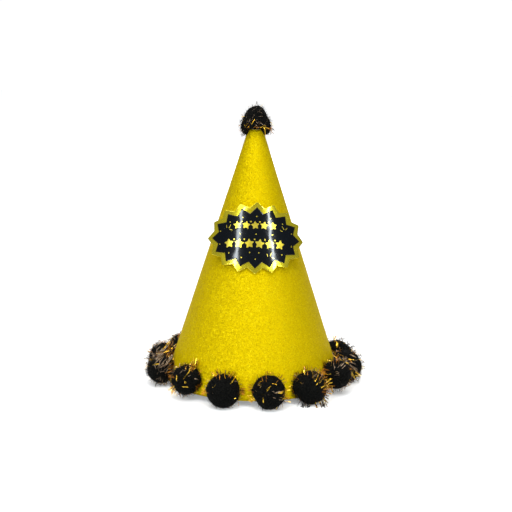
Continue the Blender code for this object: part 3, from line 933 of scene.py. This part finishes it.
class TopBall:
    """The pom-pom on the tip: a dome whose pile hangs lower at the sides than in front."""

    def __init__(self, seed):
        self.centre = np.array((0.0, 0.0, TOP_CENTRE_Z))
        self.radius = TOP_RADIUS
        self.seed = seed

    def shape(self, directions, reach):
        polar = np.arccos(np.clip(directions[:, 2], -1.0, 1.0))
        knots = np.arctan2(TOP_RADII, TOP_HEIGHTS)
        ring = np.interp(polar, knots, TOP_RADII)
        height = np.interp(polar, knots, TOP_HEIGHTS)
        turn = np.arctan2(directions[:, 0], -directions[:, 1])
        low = np.clip((-height - TOP_PARTING_START) / TOP_PARTING_SPAN, 0.0, 1.0)
        parting = low * np.exp(-((turn / TOP_PARTING_WIDTH) ** 6))
        height = height + parting * TOP_PARTING_LIFT
        flat = np.maximum(np.hypot(directions[:, 0], directions[:, 1]), 1e-6)
        trim = 1.0 + TOP_LUMPS * noise_on(directions, TOP_LUMP_SCALE, self.seed)
        points = np.stack((ring * directions[:, 0] / flat, ring * directions[:, 1] / flat, height), axis=1)
        return self.centre + points * (trim * reach)[:, None]


def tuft_pattern(directions, tufts, heights):
    """For each direction: its nearest tuft, and how near that tuft's middle it is, from 0 to 1."""
    nearness = directions @ tufts.T
    nearest = nearness.argmax(axis=1)
    angle = np.arccos(np.clip(nearness[np.arange(len(directions)), nearest], -1.0, 1.0))
    spread = math.sqrt(4.0 * math.pi / len(tufts)) * TUFT_SPREAD
    return nearest, np.clip(1.0 - angle / spread, 0.0, 1.0), heights[nearest]


def make_core(name, ball, tufts, heights):
    """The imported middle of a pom-pom, heaped up tuft by tuft."""
    bm = bmesh.new()
    bmesh.ops.create_icosphere(bm, subdivisions=CORE_DETAIL, radius=1.0)
    directions = unit(np.array([vert.co for vert in bm.verts], float))
    _, nearness, height = tuft_pattern(directions, tufts, heights)
    points, _ = press(ball.shape(directions, CORE_SCALE + TUFT_RISE * np.sqrt(nearness) + height))
    for vert, point in zip(bm.verts, points):
        vert.co = point
    mesh = mesh_of(name, bm)
    mesh.shade_smooth()
    return mesh


def spikes(roots, tips, widths):
    """One thin three-sided fibre for each root and tip, closed at its foot."""
    along = unit(tips - roots)
    helper = np.where(np.abs(along[:, 2:3]) > 0.8, (1.0, 0.0, 0.0), (0.0, 0.0, 1.0))
    side = unit(np.cross(along, helper))
    other = np.cross(along, side)
    corners = []
    for step in range(3):
        turn = FULL_TURN * step / 3.0
        corners.append(roots + (math.cos(turn) * side + math.sin(turn) * other) * widths[:, None])
    count = len(roots)
    verts = np.stack((*corners, tips), axis=1).reshape(-1, 3)
    base = (4 * np.arange(count))[:, None, None]
    pattern = np.array(((0, 1, 3), (1, 2, 3), (2, 0, 3), (0, 2, 1)))
    return verts, (base + pattern[None]).reshape(-1, 3)


def make_pile(name, ball, tufts, heights, rng):
    """Trimmed fibres gathered in tufts, and a haze of longer strays."""
    directions = even_directions(PILE_FIBRES, rng)
    nearest, nearness, height = tuft_pattern(directions, tufts, heights)
    lean = rng.normal(0.0, FIBRE_LEAN, directions.shape)
    gathered = unit(OWN_SHARE * directions + TUFT_SHARE * tufts[nearest] + lean)
    uneven = rng.normal(0.0, PILE_UNEVENNESS, PILE_FIBRES)
    reach = PILE_REACH + TUFT_RISE * nearness + height + uneven
    widths = FIBRE_WIDTH * rng.uniform(*FIBRE_WIDTHS, PILE_FIBRES)
    stray = even_directions(STRAY_FIBRES, rng)
    stray_tips = unit(stray + rng.normal(0.0, STRAY_LEAN, stray.shape))
    stray_reach = 1.0 + np.abs(rng.normal(0.0, STRAY_LENGTH, STRAY_FIBRES))
    roots = np.vstack((directions, stray))
    heads = np.vstack((gathered, stray_tips))
    reach = np.concatenate((reach, stray_reach))
    widths = np.concatenate((widths, np.full(STRAY_FIBRES, STRAY_WIDTH)))
    feet, _ = press(ball.shape(roots, np.full(len(roots), FIBRE_ROOT)))
    tips, pushed = press(ball.shape(heads, reach))
    keep = (pushed < MOST_PRESSED) & (np.linalg.norm(tips - feet, axis=1) > SHORTEST_FIBRE)
    verts, faces = spikes(feet[keep], tips[keep], widths[keep])
    return mesh_from_arrays(name, verts, faces)


# --- Tinsel strands ---

RIBBON_STEPS = 6
RIBBON_THICKNESS = 0.04 * MM
STRAND_CLEARANCE = 0.5 * MM
STRAND_SLIDE = 9.0 * MM
GOLD, COPPER, BEIGE, BLACK = range(4)
HIDDEN_SHARES = (0.36, 0.26, 0.20, 0.18)
# The pom-poms, by number, that have loose strands on their show side too
PLAIN_BALLS = (12, 13, 14)
LOOSE_STRANDS = 260
SHORTEST_STRAND = 0.8 * MM
STRAND_TWIST = 0.5
STRAND_CURL = 0.12
FAN_SHARE = 0.6
LAID_LENGTHS = (0.75, 1.2)
LAID_WIDTHS = (0.8, 1.15)
# Groups laid further out than this, in radii, stand on the pom-pom's outline, a little behind it.
OUTLINE_START = 0.9
OUTLINE_DEPTHS = (0.05, 0.45)
LOOSE_SHARE = 0.35
PATCH_SCALE = 1.7
PATCH_GAIN = 1.3
GLUED_SIDE = -0.75
SHOW_EDGE = 0.05
COMB_SCATTER = 0.45
STANDING_SHARE = 0.35
STANDING_SWEEP = 0.3
STANDING_RISES = (0.10, 0.24)
LYING_RISES = (0.02, 0.07)
LOOSE_LENGTHS = (0.25, 0.55)
LOOSE_WIDTHS = (0.20, 0.46)
STRAND_ROOT = 0.92
BRISTLE_LEAN = 0.28
BRISTLE_RISES = (0.3, 1.3)
BRISTLE_WIDTHS = (0.16, 0.34)
BRISTLES = 860
BRISTLE_BAND = 0.42
BRISTLE_RISE = 0.16
BRISTLE_SHARES = (0.14, 0.20, 0.12, 0.54)
SMOOTH_BALLS = {"pompom_05": 130, "pompom_06": 170, "top_pompom": 420}

# Groups of strands on the front of each pom-pom, in its radii, as seen square from the front:
# (x, y, spread, how many, heading in degrees, fan, length, kind, width in mm). A heading of None
# runs straight out from the middle.
STRANDS = {
    "pompom_01": (
        (-0.5, 0.6, 0.25, 8, None, 30, 0.35, BEIGE, 0.5), (0.2, 0.8, 0.3, 6, None, 40, 0.35, BLACK, 0.25),
        (0.1, 0.2, 0.35, 8, 60, 40, 0.35, COPPER, 0.39),
    ),
    "pompom_02": (
        (-0.55, 0.3, 0.3, 22, 50, 30, 0.42, BEIGE, 0.35), (0.05, 0.6, 0.3, 16, 42, 28, 0.45, GOLD, 0.22),
        (-0.9, 0.1, 0.2, 10, None, 30, 0.32, BLACK, 0.3), (0.2, 0.2, 0.3, 14, 45, 30, 0.42, COPPER, 0.24),
        (-0.4, 0.92, 0.2, 8, None, 25, 0.28, BLACK, 0.26), (-0.95, 0, 0.1, 3, None, 15, 0.38, BEIGE, 0.35),
    ),
    "pompom_03": (
        (-0.35, 0.55, 0.28, 26, 50, 20, 0.46, BEIGE, 0.26),
        (0.35, 0.42, 0.26, 22, 46, 22, 0.42, BEIGE, 0.26), (-0.62, 0.35, 0, 1, 2, 1, 0.55, GOLD, 0.5),
        (0, 0.05, 0.32, 9, 60, 50, 0.3, BEIGE, 0.22), (-0.05, -0.35, 0.35, 10, 85, 40, 0.24, BEIGE, 0.2),
        (-0.85, -0.2, 0.15, 7, None, 25, 0.28, BLACK, 0.28),
        (0.55, 0.15, 0.22, 10, 42, 30, 0.38, COPPER, 0.24),
        (-0.95, 0.15, 0.1, 4, 200, 15, 0.3, GOLD, 0.24),
        (-0.3, -0.85, 0.2, 7, None, 25, 0.24, BLACK, 0.26),
        (0.4, -0.8, 0.2, 6, None, 25, 0.26, BEIGE, 0.22),
    ),
    "pompom_04": (
        (-0.19, 0.06, 0, 1, 49, 1, 0.66, GOLD, 0.66), (-0.25, -0.38, 0, 1, 6, 1, 0.4, GOLD, 0.5),
        (-0.62, -0.02, 0.03, 2, 78, 8, 0.34, GOLD, 0.34),
        (-0.02, -0.18, 0.03, 2, 60, 20, 0.22, GOLD, 0.34), (-0.2, 0.72, 0.03, 2, -8, 10, 0.2, BEIGE, 0.4),
        (0.6, 0.15, 0.04, 2, -25, 15, 0.2, BEIGE, 0.4), (0.45, 0.92, 0.2, 24, 62, 20, 0.34, COPPER, 0.26),
        (0.55, 0.78, 0.16, 9, 72, 18, 0.44, GOLD, 0.28),
        (-0.8, -0.58, 0.11, 14, 258, 18, 0.46, GOLD, 0.42),
        (-0.86, -0.5, 0.11, 10, 236, 22, 0.38, GOLD, 0.38),
        (-0.45, -0.88, 0.15, 7, 275, 20, 0.26, BLACK, 0.3),
        (0.95, -0.35, 0.13, 12, -20, 25, 0.3, COPPER, 0.26),
        (0.1, 0.35, 0.42, 9, 50, 60, 0.2, BEIGE, 0.24),
        (-0.95, 0.25, 0.15, 9, 165, 28, 0.26, COPPER, 0.26),
        (0.1, -0.92, 0.22, 8, None, 25, 0.22, BLACK, 0.28),
        (-0.75, 0.65, 0.15, 6, None, 25, 0.22, BLACK, 0.28),
    ),
    "pompom_05": (
        (0.44, 0.48, 0, 1, 50, 1, 0.48, GOLD, 0.56), (-0.64, 0.24, 0, 1, 22, 1, 0.34, GOLD, 0.42),
        (0.06, 1.02, 0.02, 2, 283, 6, 0.24, GOLD, 0.36), (-0.17, 0.72, 0.02, 2, 70, 15, 0.16, COPPER, 0.5),
        (-0.4, 1, 0.1, 14, None, 14, 0.24, COPPER, 0.33), (0.4, 1, 0.14, 16, None, 15, 0.22, COPPER, 0.33),
        (0.62, -0.36, 0.02, 1, 40, 10, 0.1, GOLD, 0.35), (1.06, 0, 0.12, 20, 2, 16, 0.26, COPPER, 0.33),
        (-1.04, -0.1, 0.1, 12, 185, 18, 0.22, COPPER, 0.35),
        (-0.55, -0.12, 0.02, 1, 60, 20, 0.08, BEIGE, 0.4),
        (-0.58, 0.9, 0.04, 3, 120, 10, 0.26, GOLD, 0.26), (0, 1, 0.25, 10, None, 14, 0.18, BLACK, 0.26),
    ),
    "pompom_06": (
        (-0.48, 0, 0.02, 1, 5, 5, 0.3, GOLD, 0.52), (-0.32, -0.2, 0.03, 2, -72, 12, 0.24, GOLD, 0.36),
        (-0.12, 0.22, 0.04, 2, 48, 20, 0.28, GOLD, 0.36), (0.15, 0.62, 0.03, 2, -25, 10, 0.32, GOLD, 0.36),
        (-0.62, 0.5, 0.09, 5, 20, 30, 0.3, GOLD, 0.28), (0.28, 0.06, 0.07, 3, 12, 20, 0.3, BEIGE, 0.34),
        (0.62, 0.05, 0.05, 4, 12, 10, 0.58, GOLD, 0.38), (0.92, -0.44, 0.06, 5, 10, 18, 0.38, GOLD, 0.36),
        (0.9, -0.22, 0.08, 7, -5, 20, 0.34, COPPER, 0.28),
        (-1.04, 0.15, 0.12, 12, 175, 22, 0.22, COPPER, 0.28),
        (-0.98, -0.5, 0.12, 16, 205, 20, 0.38, GOLD, 0.36),
        (0, 1.02, 0.22, 16, None, 15, 0.16, COPPER, 0.26),
        (0.68, 0.8, 0.13, 12, None, 16, 0.22, COPPER, 0.26),
        (0.05, -0.05, 0.25, 4, 0, 50, 0.16, BEIGE, 0.3), (0.6, -0.22, 0.12, 3, 30, 30, 0.2, GOLD, 0.3),
        (-0.5, 0.3, 0.1, 3, -20, 40, 0.18, BEIGE, 0.3),
    ),
    "pompom_07": (
        (0.26, 0.46, 0.01, 1, 104, 3, 0.48, GOLD, 0.32), (0.28, 0.48, 0.01, 2, 62, 5, 0.52, GOLD, 0.32),
        (0.12, 0.72, 0.05, 3, 18, 20, 0.26, BEIGE, 0.3), (0.78, 0.2, 0.17, 14, 32, 26, 0.36, GOLD, 0.28),
        (0.88, -0.1, 0.14, 12, -8, 26, 0.34, COPPER, 0.26), (1.12, -0.42, 0.03, 2, -6, 6, 0.3, GOLD, 0.44),
        (-0.6, 0.32, 0.03, 2, -10, 10, 0.18, BEIGE, 0.4), (0.32, -0.84, 0.03, 3, 282, 6, 0.42, GOLD, 0.44),
        (0.86, -0.72, 0.05, 4, 305, 12, 0.44, GOLD, 0.46),
        (0.62, -0.84, 0.06, 4, 285, 14, 0.38, GOLD, 0.4),
        (-0.14, -0.88, 0.08, 7, 252, 16, 0.38, BLACK, 0.46),
        (0.8, -0.82, 0.1, 7, 308, 18, 0.42, BLACK, 0.44),
        (-0.05, 1.02, 0.2, 16, None, 15, 0.24, COPPER, 0.26),
        (0.55, 0.95, 0.16, 14, None, 15, 0.28, COPPER, 0.26),
        (-0.78, 0.75, 0.12, 10, None, 16, 0.2, COPPER, 0.26),
        (-0.4, -0.88, 0.15, 9, None, 20, 0.3, BLACK, 0.4),
        (0.97, -0.4, 0.12, 8, None, 20, 0.26, BLACK, 0.32),
    ),
    "pompom_08": (
        (-0.88, 0.4, 0.15, 20, 160, 30, 0.36, COPPER, 0.34),
        (-0.78, -0.15, 0.2, 16, 195, 30, 0.38, GOLD, 0.34),
        (-0.95, 0.05, 0.15, 14, 178, 30, 0.3, BEIGE, 0.28),
        (-0.1, 0.05, 0.1, 4, 10, 20, 0.18, BEIGE, 0.38),
        (-0.38, -0.84, 0.05, 4, 278, 12, 0.38, GOLD, 0.44),
        (-0.15, 0.98, 0.2, 14, 70, 28, 0.26, COPPER, 0.28),
        (0.45, 0.88, 0.18, 12, 35, 22, 0.34, BEIGE, 0.28), (-0.1, 0.55, 0.3, 5, 60, 50, 0.2, BEIGE, 0.24),
        (0, -0.9, 0.3, 16, None, 30, 0.3, BLACK, 0.36), (0.95, -0.4, 0.2, 12, None, 25, 0.28, BLACK, 0.34),
        (-0.8, -0.55, 0.15, 8, None, 25, 0.28, BLACK, 0.28),
        (-0.6, -0.2, 0.25, 5, 190, 40, 0.2, GOLD, 0.26),
    ),
    "pompom_09": (
        (-0.45, 0.55, 0.22, 12, -35, 20, 0.48, GOLD, 0.3), (0.1, 0.35, 0.2, 10, -40, 22, 0.5, BEIGE, 0.3),
        (0.3, -0.05, 0.14, 5, -52, 10, 0.5, GOLD, 0.36), (0.58, -0.35, 0.08, 3, -30, 8, 0.42, GOLD, 0.36),
        (0.2, -0.85, 0.12, 4, 280, 12, 0.26, GOLD, 0.32), (0.97, 0, 0.2, 10, None, 25, 0.26, BLACK, 0.3),
        (-0.2, 0.1, 0.25, 9, -40, 35, 0.32, COPPER, 0.28), (0.8, 0.6, 0.2, 8, None, 25, 0.26, BEIGE, 0.24),
        (0.75, -0.65, 0.15, 7, None, 25, 0.26, BLACK, 0.28),
    ),
    "pompom_10": (
        (-0.35, -0.3, 0.28, 18, -18, 30, 0.42, COPPER, 0.28),
        (0.25, -0.45, 0.25, 13, -30, 26, 0.42, BEIGE, 0.28),
        (-0.12, 0.8, 0.05, 5, 92, 10, 0.36, GOLD, 0.46), (0, 0.55, 0.09, 4, 78, 20, 0.28, GOLD, 0.4),
        (0.78, 0.42, 0.07, 4, 38, 10, 0.42, BLACK, 0.5), (-0.5, 0.2, 0.25, 9, -30, 30, 0.36, GOLD, 0.26),
        (0.4, 0.9, 0.2, 9, None, 25, 0.24, BLACK, 0.28), (0.95, 0, 0.15, 7, None, 25, 0.26, BLACK, 0.28),
    ),
    "pompom_11": (
        (0.35, 0.45, 0.22, 9, -60, 28, 0.45, GOLD, 0.28), (0, 0.9, 0.25, 10, None, 25, 0.26, BLACK, 0.3),
        (0.5, 0, 0.2, 8, -70, 30, 0.38, COPPER, 0.28), (0.65, 0.65, 0.15, 5, None, 25, 0.3, GOLD, 0.3),
    ),
    "top_pompom": (
        (-0.78, -0.1, 0.13, 6, 58, 16, 0.34, GOLD, 0.13), (-0.28, -0.02, 0.02, 2, 52, 4, 0.44, GOLD, 0.18),
        (0.02, 0.1, 0.08, 2, -48, 12, 0.34, BEIGE, 0.16),
        (0.42, -0.22, 0.08, 3, -32, 12, 0.32, GOLD, 0.17),
        (0.66, -0.28, 0.12, 5, -18, 18, 0.36, COPPER, 0.17),
        (0.5, -0.55, 0.06, 2, -55, 8, 0.34, GOLD, 0.19), (0.98, -0.02, 0.08, 4, 40, 20, 0.2, BLACK, 0.34),
        (0.98, -0.3, 0.08, 4, -15, 18, 0.2, BLACK, 0.34),
        (-0.45, 0.15, 0.22, 6, 40, 26, 0.26, BEIGE, 0.13),
        (0.35, 0.15, 0.22, 6, -40, 30, 0.26, BEIGE, 0.13), (0, 0.9, 0.22, 6, 10, 40, 0.22, BLACK, 0.26),
        (0.92, 0.35, 0.08, 4, 50, 22, 0.22, BLACK, 0.3), (-0.85, -0.6, 0.12, 5, 240, 20, 0.18, BLACK, 0.3),
        (-0.1, 0.7, 0.25, 5, 15, 25, 0.26, BEIGE, 0.12), (0.2, -0.25, 0.25, 6, -30, 40, 0.2, COPPER, 0.15),
        (-0.5, -0.35, 0.2, 4, 60, 30, 0.22, COPPER, 0.15),
    ),
}


def ribbons(paths, across, widths):
    """Closed flat strips. paths is (n, steps, 3), across is the direction of each one's width."""
    count, steps, _ = paths.shape
    along = np.gradient(paths, axis=1)
    along /= np.maximum(np.linalg.norm(along, axis=2, keepdims=True), 1e-9)
    flat = across[:, None, :] - (across[:, None, :] * along).sum(axis=2, keepdims=True) * along
    flat /= np.maximum(np.linalg.norm(flat, axis=2, keepdims=True), 1e-9)
    thick = np.cross(along, flat) * (0.5 * RIBBON_THICKNESS)
    half = flat * (0.5 * widths)[:, None, None]
    rings = np.stack(
        (paths - half - thick, paths + half - thick, paths + half + thick, paths - half + thick), axis=2
    )
    base = (4 * steps * np.arange(count))[:, None]
    pattern = [(3, 2, 1, 0)]
    for step in range(steps - 1):
        low = 4 * step
        for corner in range(4):
            following = (corner + 1) % 4
            pattern.append((low + corner, low + following, low + 4 + following, low + 4 + corner))
    top = 4 * (steps - 1)
    pattern.append((top, top + 1, top + 2, top + 3))
    faces = (base[:, :, None] + np.array(pattern)[None]).reshape(-1, 4)
    return rings.reshape(-1, 3), faces, len(pattern)


def forward_off_floor(points):
    """A strand that reaches the floor bends forward along it."""
    short = np.maximum(STRAND_CLEARANCE - points[:, 2], 0.0)
    slide = np.minimum(short / math.sin(CAMERA_ELEVATION), STRAND_SLIDE)
    points = points + slide[:, None] * SHOW_AXES[2]
    points[:, 2] = np.maximum(points[:, 2], STRAND_CLEARANCE)
    return points


def laid_strands(ball, groups, rng):
    """Paths for the listed strands: each runs over the pile, its root sunk in it."""
    paths = []
    kinds = []
    widths = []
    steps = np.linspace(0.0, 1.0, RIBBON_STEPS)
    for x, y, spread, count, heading, fan, length, kind, width in groups:
        for _ in range(count):
            start = np.array((x, y)) + rng.normal(0.0, spread, 2)
            start /= max(float(np.hypot(*start)), 1.0)
            outward = math.degrees(math.atan2(start[1], start[0]))
            turn = math.radians((outward if heading is None else heading) + rng.normal(0.0, fan * FAN_SHARE))
            curl = rng.normal(0.0, STRAND_CURL)
            size = length * rng.uniform(*LAID_LENGTHS)
            flat = np.stack([
                start + size * step * np.array((math.cos(turn + curl * step), math.sin(turn + curl * step)))
                for step in steps
            ])
            rho = np.hypot(flat[:, 0], flat[:, 1])
            depth = np.sqrt(np.clip(1.0 - rho**2, 0.0, 1.0))
            reach = np.interp(steps, (0.0, 0.25, 1.0), (STRAND_ROOT, 1.0, 1.03 + 0.05 * rng.random()))
            if rho.min() > OUTLINE_START:
                depth = np.full(RIBBON_STEPS, -rng.uniform(*OUTLINE_DEPTHS))
                reach = np.hypot(rho, depth)
            local = unit(np.column_stack((flat, depth)))
            reach = np.maximum(reach, rho)
            paths.append(forward_off_floor(ball.shape(local @ SHOW_AXES, reach)))
            kinds.append(kind)
            widths.append(width * rng.uniform(*LAID_WIDTHS) * MM)
    return np.array(paths), np.array(kinds), np.array(widths)


def loose_strands(ball, outward, count, rng):
    """Strands on the sides and back: combed one way in patches, some of them standing out."""
    comb = unit(rng.normal(0.0, 1.0, (1, 3)))[0]
    directions = even_directions(count, rng)
    facing = directions @ SHOW_AXES[2]
    patches = noise_on(directions, PATCH_SCALE, ball.seed + 50)
    crowded = rng.random(count) < LOOSE_SHARE + PATCH_GAIN * np.clip(patches + 0.1, 0.0, 1.0)
    free = directions @ outward > GLUED_SIDE
    keep = crowded & free & ((facing < SHOW_EDGE) | (ball.seed in PLAIN_BALLS))
    directions = directions[keep]
    count = len(directions)
    combed = comb + COMB_SCATTER * rng.normal(0.0, 1.0, (count, 3))
    tangent = unit(combed - (combed * directions).sum(axis=1)[:, None] * directions)
    standing = rng.random(count) < STANDING_SHARE
    length = rng.uniform(*LOOSE_LENGTHS, count)
    rise = np.where(standing, rng.uniform(*STANDING_RISES, count), rng.uniform(*LYING_RISES, count))
    steps = np.linspace(0.0, 1.0, RIBBON_STEPS)
    sweep = np.where(standing, STANDING_SWEEP, 1.0) * length
    paths = []
    for step in steps:
        heads = unit(directions + tangent * (sweep * step)[:, None])
        lift = STRAND_ROOT + (0.09 + rise) * step**0.7
        paths.append(ball.shape(heads, lift))
    kinds = rng.choice(len(HIDDEN_SHARES), size=count, p=HIDDEN_SHARES)
    return np.stack(paths, axis=1), kinds, rng.uniform(*LOOSE_WIDTHS, count) * MM


def bristles(ball, outward, count, rng):
    """Short stiff strands that stand out of the pile all round."""
    directions = even_directions(count, rng)
    patches = noise_on(directions, 1.4, ball.seed + 80)
    crowded = rng.random(count) < 0.55 + 1.2 * np.clip(patches, -0.4, 0.4)
    outline = np.abs(directions @ SHOW_AXES[2]) < BRISTLE_BAND
    directions = directions[crowded & outline & (directions @ outward > -0.8)]
    count = len(directions)
    lean = unit(directions + rng.normal(0.0, BRISTLE_LEAN, directions.shape))
    rise = BRISTLE_RISE * rng.uniform(*BRISTLE_RISES, count)
    paths = []
    for step in np.linspace(0.0, 1.0, RIBBON_STEPS):
        heads = unit(directions + (lean - directions) * (0.6 * step))
        paths.append(ball.shape(heads, 0.93 + (0.07 + rise) * step))
    kinds = rng.choice(len(BRISTLE_SHARES), size=count, p=BRISTLE_SHARES)
    return np.stack(paths, axis=1), kinds, rng.uniform(*BRISTLE_WIDTHS, count) * MM


def make_tinsel(name, ball, outward, rng):
    parts = [
        loose_strands(ball, outward, LOOSE_STRANDS, rng),
        bristles(ball, outward, SMOOTH_BALLS.get(name, BRISTLES), rng),
    ]
    if name in STRANDS:
        parts.append(laid_strands(ball, STRANDS[name], rng))
    paths, kinds, widths = (np.concatenate(column) for column in zip(*parts))
    flat, _ = press(paths.reshape(-1, 3))
    flat[:, 2] = np.maximum(flat[:, 2], STRAND_CLEARANCE)
    paths = flat.reshape(paths.shape)
    long_enough = np.linalg.norm(paths[:, -1] - paths[:, 0], axis=1) > SHORTEST_STRAND
    paths, kinds, widths = paths[long_enough], kinds[long_enough], widths[long_enough]
    surface = unit(paths[:, 2] - ball.centre)
    along = unit(paths[:, -1] - paths[:, 0])
    across = unit(np.cross(along, surface) + rng.normal(0.0, STRAND_TWIST, along.shape))
    verts, faces, per = ribbons(paths, across, widths)
    return mesh_from_arrays(name, verts, faces, smooth=False, material_index=np.repeat(kinds, per))


def make_pompom(node, ball, outward):
    rng = np.random.default_rng(100 + ball.seed)
    tufts = even_directions(TUFTS, rng)
    heights = rng.normal(0.0, TUFT_UNEVENNESS, TUFTS)
    core = add_piece(f"{node}_core", make_core(f"{node}_core", ball, tufts, heights), PILE)
    pile = add_piece(f"{node}_pile", make_pile(f"{node}_pile", ball, tufts, heights, rng), FIBRE)
    strands = make_tinsel(node, ball, outward, rng)
    tinsel = add_piece(f"{node}_tinsel", strands, GOLD_TINSEL, COPPER_TINSEL, BEIGE_TINSEL, BLACK_TINSEL)
    settle(core, "pompom_pile", node)
    settle(pile, "pompom_pile")
    settle(tinsel, "pompom_pile")


def make_pompoms():
    names = sorted(name for name in NODES if name.startswith("pompom_") and len(name) == 9)
    for seed, name in enumerate(names, start=1):
        centre, radius = sphere_of(name)
        outward = np.array((centre[0], centre[1], 0.0))
        outward = outward / np.linalg.norm(outward) * COS_HALF
        outward[2] = SIN_HALF
        make_pompom(name, Ball(centre, radius, seed, DENTS.get(name, ())), outward)
    make_pompom("top_pompom", TopBall(40), np.array((0.0, 0.0, 1.0)))


# --- Build ---

bpy.context.scene.view_settings.view_transform = "Standard"
make_camera()
make_lights()
make_world()
make_floor()
make_cover()
make_badge()
make_pompoms()
for cad_name in NODES:
    if cad_name.endswith("_tie"):
        repaint(cad_name, THREAD)
    elif cad_name.endswith("_glue"):
        repaint(cad_name, GLUE)
    elif cad_name.startswith("badge_foam"):
        repaint(cad_name, FOAM)
repaint("cone_card_liner", CARD)
repaint("seam_tape", TAPE)
